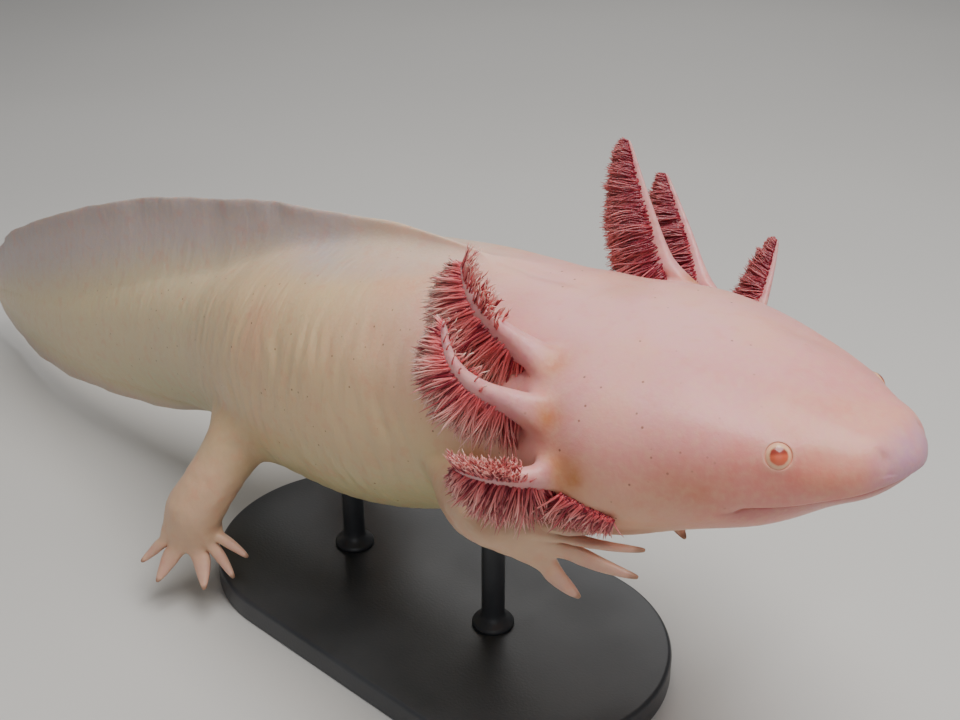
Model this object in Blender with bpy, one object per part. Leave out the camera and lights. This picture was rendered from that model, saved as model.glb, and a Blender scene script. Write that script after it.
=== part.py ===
"""Pale axolotl, life size, swimming above a plain display stand.

All sizes are in millimetres and are scaled to metres when a mesh is made.
+X is the way the trunk points, +Y the animal's left, +Z up.  The origin is the
centre of the underside of the stand's base.

The body is one smooth tube swept along a bent spine.  `s` is the distance along
the spine behind the tip of the snout.  Thin plane cuts across the tube part it
into head, neck, trunk and tail lengths.  Legs, gills, fins and eyes are shapes of
their own that stop a hair's breadth short of the body's surface.
"""

import math

import bpy
import numpy as np

# ---------------------------------------------------------------- sizes, mm
MM = 0.001
CUT = 0.30                      # width of every cut between two pieces
BODY_LENGTH = 250.0             # snout to tail tip, along the spine
SHOULDER_S = 60.0               # where the spine passes ANCHOR
ANCHOR = (24.0, 0.0, 54.0)      # the spine's point at SHOULDER_S
SPINE_STEP = 0.5
HEAD_YAW, HEAD_PITCH = 1.3, 7.9             # degrees, direction of the snout
# bends, going back along the spine: from s, to s, yaw, pitch in degrees
BENDS = (
    (16.0, 46.0, 0.0, 4.2),     # snout stoops from the skull
    (38.0, 64.0, -1.3, 3.8),    # neck
    (75.0, 115.0, 0.7, -5.3),   # small of the back
    (115.0, 165.0, 3.1, 4.3),   # root of the tail
    (160.0, 235.0, -16.1, -3.5),  # tail swings to the animal's left
)
NOSE_ROUND = 6.0                # the snout closes as an ellipse over this length
TAIL_ROUND = 2.0
# sections: s, half width, height above spine, depth below, squareness of outline
SECTIONS = (
    (0.0, 6.8, 4.2, 3.8, 2.2),      # lips
    (6.0, 9.7, 5.4, 5.3, 2.4),
    (16.0, 16.0, 9.2, 10.2, 2.4),   # behind the eyes
    (26.0, 20.5, 12.0, 12.7, 2.4),
    (36.0, 23.4, 14.1, 15.4, 2.4),  # jaw muscles
    (46.0, 22.6, 15.8, 17.0, 2.3),  # gill roots
    (56.0, 19.2, 17.9, 15.6, 2.2),  # neck
    (70.0, 20.6, 20.9, 18.9, 2.2),
    (90.0, 22.1, 22.6, 21.5, 2.2),  # belly
    (110.0, 20.1, 20.9, 20.0, 2.2),
    (125.0, 16.0, 17.6, 17.0, 2.1),
    (134.0, 13.2, 15.6, 16.4, 2.0),  # vent
    (150.0, 9.8, 14.3, 15.0, 1.9),
    (170.0, 7.2, 12.0, 13.0, 1.9),
    (200.0, 4.6, 8.4, 8.9, 1.9),
    (230.0, 2.4, 4.8, 4.6, 2.0),
    (250.0, 0.9, 1.0, 1.0, 2.0),
)
RING_SIDES = 30
# where the tube is parted: name, s of the front, s of the back, rings
LENGTHS = (
    ("head", 0.0, 50.0, 16),
    ("neck", 50.0, 62.0, 4),
    ("trunk_front", 62.0, 80.0, 5),
    ("trunk_middle", 80.0, 100.0, 5),
    ("trunk_rear", 100.0, 118.0, 5),
    ("pelvis", 118.0, 136.0, 5),
    ("tail_root", 136.0, 165.0, 6),
    ("tail_middle", 165.0, 205.0, 7),
    ("tail_end", 205.0, 250.0, 8),
)
# mouth: the lower jaw is everything in front of the corner and below the gape
GAPE_FRONT, GAPE_CORNER, CORNER_S = -2.6, -5.4, 16.0
# fins: s, height of the blade
UPPER_FIN = ((70.0, 1.2), (80.0, 2.4), (95.0, 4.0), (110.0, 6.6), (130.0, 11.2), (150.0, 13.4),
             (180.0, 14.8), (215.0, 13.0), (238.0, 8.6), (250.0, 3.0))
LOWER_FIN = ((146.0, 1.0), (160.0, 2.2), (180.0, 3.8), (215.0, 6.2), (238.0, 5.4), (250.0, 2.6))
FIN_ROOT, FIN_EDGE = 2.6, 0.8   # thickness
FIN_PARTING_S = 134.0           # where back fin ends and tail fin starts

EYE_S, EYE_SIDE, EYE_UP, EYE_R = 12.2, 12.6, 3.3, 2.2

# limbs: root inside the body, elbow or knee, wrist or ankle (relative to ANCHOR)
LIMBS = {
    "arm_right": ((-3.0, -12.0, -8.5), (5.9, -22.4, -6.3), (13.8, -24.7, -5.9)),
    "arm_left": ((-3.0, 12.0, -8.5), (0.5, 22.0, -14.0), (8.0, 18.5, -20.5)),
    "leg_right": ((-55.0, -9.0, -18.0), (-54.5, -19.5, -26.4), (-57.5, -25.6, -36.0)),
    "leg_left": ((-56.0, 9.0, -18.0), (-61.0, 23.0, -22.5), (-69.0, 27.0, -26.5)),
}
LIMB_RADII = {"arm": (5.2, 4.2, 3.9, 3.7), "leg": (6.8, 5.1, 4.8, 5.2)}
LIMB_SIDES = 12
# digits: tips relative to the wrist or ankle, first toe first
DIGITS = {
    "arm_right": ((11.1, 3.9, -8.7), (19.0, 5.7, -2.4), (19.1, 6.7, 1.4), (12.8, 4.6, 2.6)),
    "arm_left": ((1.3, -6.5, -5.6), (11.5, -6.3, -4.1), (13.0, -1.5, 0.0), (8.6, 3.7, 3.9)),
    "leg_right": ((9.8, 3.6, -7.0), (9.5, 0.4, -9.9), (7.3, -4.4, -10.9), (-1.1, -8.4, -11.3),
                  (-5.4, -8.4, -9.1)),
    "leg_left": ((-6.1, 3.8, -10.1), (-10.8, 1.6, -9.0), (-13.6, -1.5, -5.4), (-13.4, -4.2, -0.5),
                 (-10.5, -5.5, 3.4)),
}
DIGIT_TIP_R = 0.38
DIGIT_FULLNESS = 1.6            # power of the taper: above 1, a digit stays full for longer
HUB_LEAD = 1.0                  # the digits fan out from this far past the wrist or ankle
RIM_GAP = 9.0                   # degrees of palm outside the first and last digit
PALM_SHARE = {"arm": 0.46, "leg": 0.50}      # how far along a digit the palm reaches
PALM_THICKNESS = {"arm": 2.1, "leg": 2.6}

# gills: root as s, side and height; run from root to tip (ahead, left, up); how far
# the stalk bows outward; the way its plume hangs; width of the plume
GILLS = {
    "gill_right_upper": (44.0, -16.1, 12.2, (-14.0, -2.0, 11.0), 2.5, (-0.75, -0.15, -0.66), 6.0),
    "gill_right_middle": (42.0, -21.3, 7.4, (-12.0, -6.0, 11.0), 5.0, (-0.75, -0.25, -0.60), 6.0),
    "gill_right_lower": (38.5, -23.4, -1.2, (-9.0, -9.0, 2.0), 3.5, (-0.55, -0.10, -0.80), 5.0),
    "gill_left_upper": (44.0, 16.1, 12.2, (-13.0, 3.0, 18.8), -1.5, (-0.78, -0.50, -0.38), 6.6),
    "gill_left_middle": (42.0, 21.3, 7.4, (-15.0, 6.5, 15.8), 0.5, (-0.78, -0.46, -0.42), 6.0),
    "gill_left_lower": (38.5, 23.4, -1.2, (-4.0, 12.0, 14.5), 2.0, (-0.80, -0.40, -0.45), 4.4),
}
GILL_ROOT_R, GILL_TIP_R = 2.5, 0.8
GILL_SIDES, GILL_RINGS = 10, 11

BASE_LENGTH, BASE_WIDTH, BASE_THICKNESS, BASE_EDGE = 92.0, 50.0, 4.5, 0.8
ROD_R, ROD_SIDES = 2.0, 20
RODS = {"stand_rod_front": 70.0, "stand_rod_rear": 106.0}   # s of the belly above each

COLOURS = {
    "flesh": ((0.86, 0.72, 0.66), 0.42),
    "trunk": ((0.84, 0.76, 0.66), 0.42),
    "fin": ((0.74, 0.69, 0.70), 0.38),
    "limb": ((0.86, 0.66, 0.58), 0.42),
    "gill": ((0.52, 0.07, 0.09), 0.45),
    "eye": ((0.72, 0.42, 0.22), 0.10),
    "stand": ((0.035, 0.036, 0.040), 0.35),
}


# ---------------------------------------------------------------- curves
def ease(value, low, high):
    """Smooth step of value from 0 at low to 1 at high."""
    t = np.clip((value - low) / (high - low), 0.0, 1.0)
    return t * t * (3.0 - 2.0 * t)


def curve_through(x, knots, values):
    """Monotone cubic through the knots, which never overshoots a size."""
    knots, values = np.asarray(knots, float), np.asarray(values, float)
    gap = np.diff(knots)
    slope = np.diff(values) / gap
    tangent = np.concatenate([[slope[0]], np.zeros(len(knots) - 2), [slope[-1]]])
    same = slope[:-1] * slope[1:] > 0
    w1, w2 = 2 * gap[1:] + gap[:-1], gap[1:] + 2 * gap[:-1]
    safe0 = np.where(same, slope[:-1], 1.0)
    safe1 = np.where(same, slope[1:], 1.0)
    tangent[1:-1] = np.where(same, (w1 + w2) / (w1 / safe0 + w2 / safe1), 0.0)
    i = np.clip(np.searchsorted(knots, x) - 1, 0, len(gap) - 1)
    t = np.clip((x - knots[i]) / gap[i], 0.0, 1.0)
    return ((1 + 2 * t) * (1 - t) ** 2 * values[i] + t * (1 - t) ** 2 * gap[i] * tangent[i]
            + t * t * (3 - 2 * t) * values[i + 1] + t * t * (t - 1) * gap[i] * tangent[i + 1])


class Spine:
    """Points and axes along the animal's middle line, from snout to tail tip."""

    def __init__(self):
        self.s = np.arange(0.0, BODY_LENGTH + SPINE_STEP, SPINE_STEP)
        yaw = np.full_like(self.s, HEAD_YAW)
        pitch = np.full_like(self.s, HEAD_PITCH)
        for start, end, turn, dip in BENDS:
            share = ease(self.s, start, end)
            yaw, pitch = yaw + turn * share, pitch + dip * share
        yaw, pitch = np.radians(yaw), np.radians(pitch)
        zero = np.zeros_like(yaw)
        self.ahead = np.stack([np.cos(pitch) * np.cos(yaw), np.cos(pitch) * np.sin(yaw), np.sin(pitch)], 1)
        self.left = np.stack([-np.sin(yaw), np.cos(yaw), zero], 1)
        self.up = np.cross(self.ahead, self.left)
        steps = (self.ahead[1:] + self.ahead[:-1]) / 2 * SPINE_STEP
        run = np.vstack([zero[:1].repeat(3)[None], -np.cumsum(steps, axis=0)])
        self.point = run - run[int(SHOULDER_S / SPINE_STEP)] + np.array(ANCHOR)

    def at(self, s):
        """Point and the three axes at distance s."""
        pick = [np.array([np.interp(s, self.s, field[:, k]) for k in range(3)])
                for field in (self.point, self.ahead, self.left, self.up)]
        return pick

    def place(self, s, side, height):
        """World point at distance s, so far to the left and so high."""
        point, _, left, up = self.at(s)
        return point + left * side + up * height


def section_sizes(s):
    """Half width, height above, depth below and squareness at distance s."""
    table = np.array(SECTIONS)
    sizes = [float(curve_through(np.array([s]), table[:, 0], table[:, k])[0]) for k in (1, 2, 3, 4)]
    nose = math.sqrt(max(0.0, 1.0 - (1.0 - min(s / NOSE_ROUND, 1.0)) ** 2))
    tail = math.sqrt(max(0.0, 1.0 - (1.0 - min((BODY_LENGTH - s) / TAIL_ROUND, 1.0)) ** 2))
    close = max(nose * tail, 0.05)
    return sizes[0] * close, sizes[1] * close, sizes[2] * close, sizes[3]


def ring(spine, s, sides=RING_SIDES, grow=0.0):
    """Closed outline of the body at distance s: a super-ellipse across the spine."""
    width, above, below, square = section_sizes(s)
    angle = np.linspace(0.0, 2 * np.pi, sides, endpoint=False)
    c, d = np.cos(angle), np.sin(angle)
    side = np.sign(c) * np.abs(c) ** (2 / square) * (width + grow)
    height = np.sign(d) * np.abs(d) ** (2 / square) * np.where(d > 0, above + grow, below + grow)
    point, _, left, up = spine.at(s)
    return point + side[:, None] * left + height[:, None] * up


# ---------------------------------------------------------------- meshes
def clear_scene():
    """Remove whatever is in the scene."""
    for old in list(bpy.data.objects):
        bpy.data.objects.remove(old, do_unlink=True)


def material(name, finish):
    """A principled material of the named finish."""
    colour, roughness = COLOURS[finish]
    made = bpy.data.materials.new(name)
    made.use_nodes = True
    shader = made.node_tree.nodes["Principled BSDF"]
    shader.inputs["Base Color"].default_value = (*colour, 1.0)
    shader.inputs["Roughness"].default_value = roughness
    shader.inputs["Metallic"].default_value = 0.0
    made.diffuse_color = (*colour, 1.0)
    return made


def solid(name, verts, faces, finish=None, smooth=True):
    """Make a closed mesh object, turned outward, from points in millimetres."""
    verts = np.asarray(verts, float)
    volume = 0.0
    for face in faces:
        a = verts[face[0]]
        for k in range(1, len(face) - 1):
            volume += float(np.dot(a, np.cross(verts[face[k]], verts[face[k + 1]])))
    if volume < 0:
        faces = [tuple(reversed(face)) for face in faces]
    mesh = bpy.data.meshes.new(name)
    mesh.from_pydata((verts * MM).tolist(), [], faces)
    mesh.update()
    obj = bpy.data.objects.new(name, mesh)
    bpy.context.collection.objects.link(obj)
    for polygon in mesh.polygons:
        polygon.use_smooth = smooth and len(polygon.vertices) < 6
    if finish is None:
        obj.hide_render = True
        obj.display_type = "WIRE"
    else:
        mesh.materials.append(material(name, finish))
    return obj


def tube(rings):
    """Points and faces of a tube through equal rings, with a flat cap at each end."""
    rings = np.asarray(rings)
    count, sides = rings.shape[:2]
    faces = []
    for i in range(count - 1):
        for j in range(sides):
            k = (j + 1) % sides
            faces.append((i * sides + j, i * sides + k, (i + 1) * sides + k, (i + 1) * sides + j))
    faces.append(tuple(reversed(range(sides))))
    faces.append(tuple(range((count - 1) * sides, count * sides)))
    return rings.reshape(-1, 3), faces


def boolean(obj, other, kind="DIFFERENCE"):
    """Cut or join another solid, exactly."""
    step = obj.modifiers.new(f"{kind.lower()}_{other.name}"[:50], "BOOLEAN")
    step.operation = kind
    step.solver = "EXACT"
    step.object = other


def frame_along(direction, hint):
    """Two unit vectors across a direction, the first as near the hint as it can be."""
    direction = direction / np.linalg.norm(direction)
    first = hint - direction * np.dot(hint, direction)
    first /= np.linalg.norm(first)
    return first, np.cross(direction, first)


def oval(centre, first, second, half_first, half_second, sides):
    """Points of an ellipse round a centre."""
    angle = np.linspace(0.0, 2 * np.pi, sides, endpoint=False)[:, None]
    return centre + np.cos(angle) * first * half_first + np.sin(angle) * second * half_second


def bezier(p0, p1, p2, t):
    """Point and direction on a curve with one control point."""
    point = (1 - t) ** 2 * p0 + 2 * t * (1 - t) * p1 + t * t * p2
    slope = 2 * (1 - t) * (p1 - p0) + 2 * t * (p2 - p1)
    return point, slope / np.linalg.norm(slope)


# ---------------------------------------------------------------- body
def stations(front, back, count):
    """Distances of the rings of one length; those of the snout crowd to the tip."""
    if front == 0.0:
        share = np.linspace(0.0, 1.0, count) ** 1.75
        return 0.02 + (back - 0.02) * share
    return np.linspace(front, back, count)


def body_lengths(spine):
    """The head, neck, trunk and tail lengths, parted by plane cuts across the spine."""
    made = {}
    for name, front, back, count in LENGTHS:
        first = front if front == 0.0 else front + CUT / 2
        last = back if back == BODY_LENGTH else back - CUT / 2
        rings = [ring(spine, s) for s in stations(first, last, count)]
        made[name] = solid(name, *tube(rings), "flesh" if name in ("head", "neck") else "trunk")
    return made


def body_cutter(spine, name, front, back, count):
    """The body grown by one cut's width, to trim what grows from it."""
    rings = [ring(spine, s, grow=CUT) for s in np.linspace(front, back, count)]
    return solid(name, *tube(rings))


def gape_block(spine, name, slack):
    """Block in front of the mouth's corner and below its gape."""
    corner, front = CORNER_S - slack, -6.0
    rise = (GAPE_CORNER - GAPE_FRONT) / CORNER_S
    corners = []
    for s in (corner, front):
        top = GAPE_FRONT + rise * s - slack
        for side, height in ((-30.0, -30.0), (30.0, -30.0), (30.0, top), (-30.0, top)):
            point, ahead, left, up = spine.at(max(s, 0.0))
            corners.append(point + ahead * max(-s, 0.0) + left * side + up * height)
    faces = [(0, 1, 2, 3), (7, 6, 5, 4), (0, 4, 5, 1), (1, 5, 6, 2), (2, 6, 7, 3), (3, 7, 4, 0)]
    return solid(name, corners, faces, smooth=False)


def add_jaw(spine, head):
    """Part the lower jaw from the head along the gape."""
    rings = [ring(spine, s) for s in stations(0.0, 24.0, 11)]
    jaw = solid("lower_jaw", *tube(rings), "flesh")
    boolean(jaw, gape_block(spine, "cutter_jaw", CUT), "INTERSECT")
    boolean(head, gape_block(spine, "cutter_gape", 0.0))
    return jaw


def globe(name, centre, radius, finish, sides=14, rows=9):
    """A ball of even rings."""
    verts, faces = [centre + np.array([0, 0, radius])], []
    for i in range(1, rows):
        lat = math.pi * i / rows
        for j in range(sides):
            lon = 2 * math.pi * j / sides
            verts.append(centre + radius * np.array(
                [math.sin(lat) * math.cos(lon), math.sin(lat) * math.sin(lon), math.cos(lat)]))
    verts.append(centre - np.array([0, 0, radius]))
    last = len(verts) - 1
    for j in range(sides):
        k = (j + 1) % sides
        faces.append((0, 1 + j, 1 + k))
        faces.append((last, last - sides + k, last - sides + j))
        for i in range(rows - 2):
            a, b = 1 + i * sides, 1 + (i + 1) * sides
            faces.append((a + j, b + j, b + k, a + k))
    return solid(name, verts, faces, finish)


def add_eyes(spine, head):
    """Both eyes, each in a socket cut from the head."""
    for name, side in (("eye_right", -EYE_SIDE), ("eye_left", EYE_SIDE)):
        centre = spine.place(EYE_S, side, EYE_UP)
        globe(name, centre, EYE_R, "eye")
        boolean(head, globe(f"cutter_{name}", centre, EYE_R + CUT, None))


# ---------------------------------------------------------------- fins
def fin(spine, name, table, front, back, count, sign):
    """A blade on the middle line, thick at its root and thin at its edge."""
    knots, heights = zip(*table)
    rings = []
    for s in np.linspace(front, back, count):
        _, above, below, _ = section_sizes(s)
        tall = float(curve_through(np.array([s]), knots, heights)[0])
        root = (above if sign > 0 else below) + CUT
        thick = min(FIN_ROOT, 0.5 * tall + 0.6)
        outline = ((-thick / 2, 0.0), (-0.3 * thick, 0.45), (-FIN_EDGE / 2, 1.0),
                   (FIN_EDGE / 2, 1.0), (0.3 * thick, 0.45), (thick / 2, 0.0))
        rings.append([spine.place(s, x, sign * (root + y * tall)) for x, y in outline])
    return solid(name, *tube(rings), "fin")


def add_fins(spine):
    """Back fin, and the upper and lower fins of the tail."""
    fin(spine, "fin_back", UPPER_FIN, UPPER_FIN[0][0], FIN_PARTING_S - CUT / 2, 15, 1)
    fin(spine, "fin_tail_upper", UPPER_FIN, FIN_PARTING_S + CUT / 2, UPPER_FIN[-1][0] - 0.5, 19, 1)
    fin(spine, "fin_tail_lower", LOWER_FIN, LOWER_FIN[0][0], LOWER_FIN[-1][0] - 0.5, 17, -1)


# ---------------------------------------------------------------- limbs
def limb_rings(path, radii, start, end, count):
    """Rings of one length of a limb that follows a smooth bend through its joint."""
    root, joint, end_point = path
    bend = 2 * joint - (root + end_point) / 2
    rings = []
    hint = np.array([0.35, 0.2, 1.0])
    for t in np.linspace(start, end, count):
        point, slope = bezier(root, bend, end_point, t)
        radius = float(curve_through(np.array([t]), (0.0, 0.45, 0.75, 1.0), radii)[0])
        first, second = frame_along(slope, hint)
        rings.append(oval(point, first, second, radius * 0.94, radius, LIMB_SIDES))
    return rings


def foot(name, kind, path, tips):
    """Palm or sole whose front splits into digits, as one closed skin."""
    wrist = path[2]
    _, slope = bezier(path[0], 2 * path[1] - (path[0] + path[2]) / 2, path[2], 1.0)
    start = wrist + slope * CUT
    hub = start + slope * HUB_LEAD
    wrist_radius, thickness = LIMB_RADII[kind][3], PALM_THICKNESS[kind]
    arms = [wrist + np.array(tip) - hub for tip in tips]
    flat = np.cross(arms[0], arms[-1])
    flat /= np.linalg.norm(flat)
    reach = sum(arm / np.linalg.norm(arm) for arm in arms)
    reach -= flat * np.dot(reach, flat)
    reach /= np.linalg.norm(reach)
    across = np.cross(flat, reach)
    turns = [math.atan2(float(np.dot(arm, across)), float(np.dot(arm, reach))) for arm in arms]
    half_gap = 0.5 * (turns[-1] - turns[0]) / (len(turns) - 1)
    rim = min(half_gap, math.radians(RIM_GAP))
    edges = [turns[0] - rim] + [(a + b) / 2 for a, b in zip(turns, turns[1:])] + [turns[-1] + rim]
    columns = [edges[0]]
    for turn, edge in zip(turns, edges[1:]):
        columns += [turn, edge]
    count = len(columns)
    palm = PALM_SHARE[kind] * float(np.mean([np.linalg.norm(arm) for arm in arms]))

    first, second = frame_along(slope, across)
    if np.dot(second, flat) < 0:
        second = -second
    dip = [math.pi - (c + 0.5) * math.pi / count for c in range(count)]
    top = [start + wrist_radius * (first * math.cos(a) + second * math.sin(a)) for a in dip]
    low = [start + wrist_radius * (first * math.cos(a) - second * math.sin(a)) for a in dip]
    front = [hub + palm * (reach * math.cos(a) + across * math.sin(a)) for a in columns]
    rise = [thickness / 2 * (1.0 if c % 2 else 0.72) for c in range(count)]
    top_front = [p + flat * r for p, r in zip(front, rise)]
    low_front = [p - flat * r for p, r in zip(front, rise)]
    rings = [top + low[::-1],
             [(a * 0.5 + b * 0.5) for a, b in zip(top + low[::-1], top_front + low_front[::-1])],
             top_front + low_front[::-1]]
    verts, faces = [p for line in rings for p in line], [tuple(reversed(range(2 * count)))]
    for i in range(2):
        for j in range(2 * count):
            k = (j + 1) % (2 * count)
            a, b = i * 2 * count, (i + 1) * 2 * count
            faces.append((a + j, a + k, b + k, b + j))
    last = 2 * 2 * count
    for index, arm in enumerate(arms):
        c = 2 * index
        loop = [last + c, last + c + 1, last + c + 2]
        loop += [last + 2 * count - 1 - q for q in (c + 2, c + 1, c)]
        root, tip = front[c + 1], hub + arm
        side = front[c + 2] - front[c]
        wide = float(np.linalg.norm(side)) / 2
        side /= 2 * wide
        for t in (0.30, 0.60, 0.85, 1.0):
            full = 1.0 - t ** DIGIT_FULLNESS
            half = DIGIT_TIP_R + (wide * 0.92 - DIGIT_TIP_R) * full
            thick = DIGIT_TIP_R + (thickness / 2 - DIGIT_TIP_R) * full
            point = root + (tip - root) * t
            corners = ((-1, 0.7), (0, 1), (1, 0.7), (1, -0.7), (0, -1), (-1, -0.7))
            new = list(range(len(verts), len(verts) + 6))
            verts += [point + side * half * x + flat * thick * y for x, y in corners]
            for j in range(6):
                k = (j + 1) % 6
                faces.append((loop[j], loop[k], new[k], new[j]))
            loop = new
        faces.append(tuple(loop))
    return solid(name, verts, faces, "limb")


def add_limbs(spine):
    """Four limbs, each an upper length, a lower length and a hand or foot."""
    trunk = body_cutter(spine, "cutter_trunk", 40.0, 145.0, 27)
    for name, points in LIMBS.items():
        kind = name.split("_")[0]
        radii = LIMB_RADII[kind]
        path = [np.array(point) + np.array(ANCHOR) for point in points]
        upper = solid(f"{name}_upper", *tube(limb_rings(path, radii, 0.0, 0.56, 7)), "limb")
        boolean(upper, trunk)
        gap = CUT / float(np.linalg.norm(path[2] - path[0]))
        solid(f"{name}_lower", *tube(limb_rings(path, radii, 0.56 + gap * 1.4, 1.0, 5)), "limb")
        end = "hand" if kind == "arm" else "foot"
        foot(f"{end}_{name.split('_')[1]}", kind, path, DIGITS[name])
    return trunk


# ---------------------------------------------------------------- gills
def add_gills(spine, trunk_cutter):
    """Six gills: a tapering stalk with its plume of filaments behind and below it."""
    for name, (s, side, height, run, bow, hang, plume) in GILLS.items():
        root = spine.place(s, side, height)
        out = root - spine.at(s)[0]
        out /= np.linalg.norm(out)
        tip = root + np.array(run)
        control = root + np.array(run) * 0.42 + out * bow
        rings = []
        for t in np.linspace(0.0, 1.0, GILL_RINGS):
            point, way = bezier(root - out * 2.0, control, tip, t)
            radius = GILL_ROOT_R + (GILL_TIP_R - GILL_ROOT_R) * t ** 0.8
            fringe = plume * math.sin(math.pi * (0.08 + 0.91 * t ** 0.8)) ** 0.6
            fringe *= float(ease(t, 0.10, 0.34)) * 0.9 + 0.1
            along, across = frame_along(way, np.array(hang))
            angle = np.linspace(0.0, 2 * np.pi, GILL_SIDES, endpoint=False)[:, None]
            reach = fringe / 2 + (radius + fringe / 2) * np.cos(angle)
            thick = radius * (0.80 - 0.20 * np.cos(angle)) * np.sin(angle)
            rings.append(point + along * reach + across * thick)
        gill = solid(name, *tube(rings), "gill")
        boolean(gill, trunk_cutter)


# ---------------------------------------------------------------- stand
def add_stand(spine, trunk_cutter):
    """Flat base with two rods that stop just under the belly."""
    half_l, half_w = BASE_LENGTH / 2, BASE_WIDTH / 2
    outline = []
    for k in range(40):
        a = 2 * math.pi * (k + 0.5) / 40
        cx = math.copysign(half_l - half_w, math.cos(a))
        outline.append((cx + half_w * math.cos(a), half_w * math.sin(a)))
    outline = np.array(outline)

    def level(z, inset):
        shrink = outline * (1 - inset / np.linalg.norm(outline, axis=1))[:, None]
        return np.column_stack([shrink, np.full(len(outline), z)])
    rings = [level(0.0, BASE_EDGE * 0.5), level(BASE_EDGE * 0.5, 0.0),
             level(BASE_THICKNESS - BASE_EDGE, 0.0), level(BASE_THICKNESS, BASE_EDGE)]
    solid("stand_base", *tube(rings), "stand", smooth=False)
    up, first, second = np.array([0, 0, 1.0]), np.array([1.0, 0, 0]), np.array([0, 1.0, 0])
    for name, s in RODS.items():
        foot_point = spine.place(s, 0.0, 0.0) * np.array([1, 0, 0])
        rod = solid(name, *tube([oval(foot_point + up * z, first, second, ROD_R, ROD_R, ROD_SIDES)
                                 for z in (BASE_THICKNESS + CUT, spine.place(s, 0.0, 0.0)[2])]), "stand")
        boolean(rod, trunk_cutter)


def main():
    """Build every piece."""
    clear_scene()
    spine = Spine()
    lengths = body_lengths(spine)
    add_jaw(spine, lengths["head"])
    add_eyes(spine, lengths["head"])
    add_fins(spine)
    trunk_cutter = add_limbs(spine)
    gill_cutter = body_cutter(spine, "cutter_head", 20.0, 100.0, 25)
    add_gills(spine, gill_cutter)
    add_stand(spine, trunk_cutter)


main()
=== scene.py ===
"""Dresses the axolotl: one soft skin from snout to tail tip, feathery gills, eyes and stand.

Lengths are in millimetres until a mesh is made, and are scaled to metres there.
+X is the way the trunk points, +Y the animal's left, +Z up.  `s` is the distance
along the spine behind the tip of the snout; `side` and `height` are measured from
the spine to the animal's left and upward.
"""

import logging
import math
from collections.abc import Callable
from dataclasses import dataclass, field
from enum import Enum

import bmesh
import bpy
import numpy as np
from mathutils import Matrix


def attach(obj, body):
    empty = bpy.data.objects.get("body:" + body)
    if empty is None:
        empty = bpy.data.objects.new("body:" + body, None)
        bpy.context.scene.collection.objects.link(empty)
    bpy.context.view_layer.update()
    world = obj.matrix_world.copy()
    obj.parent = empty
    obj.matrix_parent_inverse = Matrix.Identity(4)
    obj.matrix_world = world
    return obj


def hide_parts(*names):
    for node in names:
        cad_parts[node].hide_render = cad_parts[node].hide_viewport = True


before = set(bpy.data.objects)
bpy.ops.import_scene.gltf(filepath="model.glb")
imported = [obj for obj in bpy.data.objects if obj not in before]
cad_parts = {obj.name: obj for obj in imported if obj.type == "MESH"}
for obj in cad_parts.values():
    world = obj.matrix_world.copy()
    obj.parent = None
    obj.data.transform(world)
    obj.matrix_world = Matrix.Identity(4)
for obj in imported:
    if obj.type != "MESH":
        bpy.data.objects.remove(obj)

MM = 0.001
LOG = logging.getLogger("axolotl")
Array = np.ndarray
Socket = bpy.types.NodeSocket
Value = Socket | float | tuple


# ---------------------------------------------------------------- curves
def ease(value: Array | float, low: float, high: float) -> Array:
    """Smooth step of value from 0 at low to 1 at high: t²(3 − 2t)."""
    t = np.clip((np.asarray(value, float) - low) / (high - low), 0.0, 1.0)
    return t * t * (3.0 - 2.0 * t)


def bump(value: Array | float, middle: float, width: float) -> Array:
    """Bell curve exp(−((value − middle)/width)²)."""
    return np.exp(-(((np.asarray(value, float) - middle) / width) ** 2))


@dataclass(frozen=True)
class Bell:
    """A bell curve of its own height round a middle."""

    middle: float
    width: float
    height: float = 1.0

    def __call__(self, value: Array) -> Array:
        """The curve's value."""
        return self.height * bump(value, self.middle, self.width)


@dataclass(frozen=True)
class Stretch:
    """A stretch that fades in from start to full and out from fading to end."""

    start: float
    full: float
    fading: float
    end: float

    def __call__(self, value: Array) -> Array:
        """One within the stretch, and nothing beyond it."""
        return ease(value, self.start, self.full) * (1 - ease(value, self.fading, self.end))


def unit(vectors: Array) -> Array:
    """The vectors, each scaled to length one."""
    vectors = np.asarray(vectors, float)
    return vectors / np.maximum(np.linalg.norm(vectors, axis=-1, keepdims=True), 1e-12)


def curve_through(x: Array, knots: Array, values: Array) -> Array:
    """Monotone cubic through the knots, which never overshoots a size.

    Args:
        x: where to read the curve.
        knots: rising places of the given values.
        values: the curve's values at the knots.

    Returns:
        The curve's value at each x: Hermite pieces with weighted harmonic-mean slopes.
    """
    x, knots, values = (np.asarray(a, float) for a in (x, knots, values))
    gap = np.diff(knots)
    slope = np.diff(values) / gap
    tangent = np.concatenate([[slope[0]], np.zeros(len(knots) - 2), [slope[-1]]])
    same = slope[:-1] * slope[1:] > 0
    w1, w2 = 2 * gap[1:] + gap[:-1], gap[1:] + 2 * gap[:-1]
    before, after = np.where(same, slope[:-1], 1.0), np.where(same, slope[1:], 1.0)
    tangent[1:-1] = np.where(same, (w1 + w2) / (w1 / before + w2 / after), 0.0)
    i = np.clip(np.searchsorted(knots, x) - 1, 0, len(gap) - 1)
    t = np.clip((x - knots[i]) / gap[i], 0.0, 1.0)
    return ((1 + 2 * t) * (1 - t) ** 2 * values[i] + t * (1 - t) ** 2 * gap[i] * tangent[i]
            + t * t * (3 - 2 * t) * values[i + 1] + t * t * (t - 1) * gap[i] * tangent[i + 1])


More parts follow.
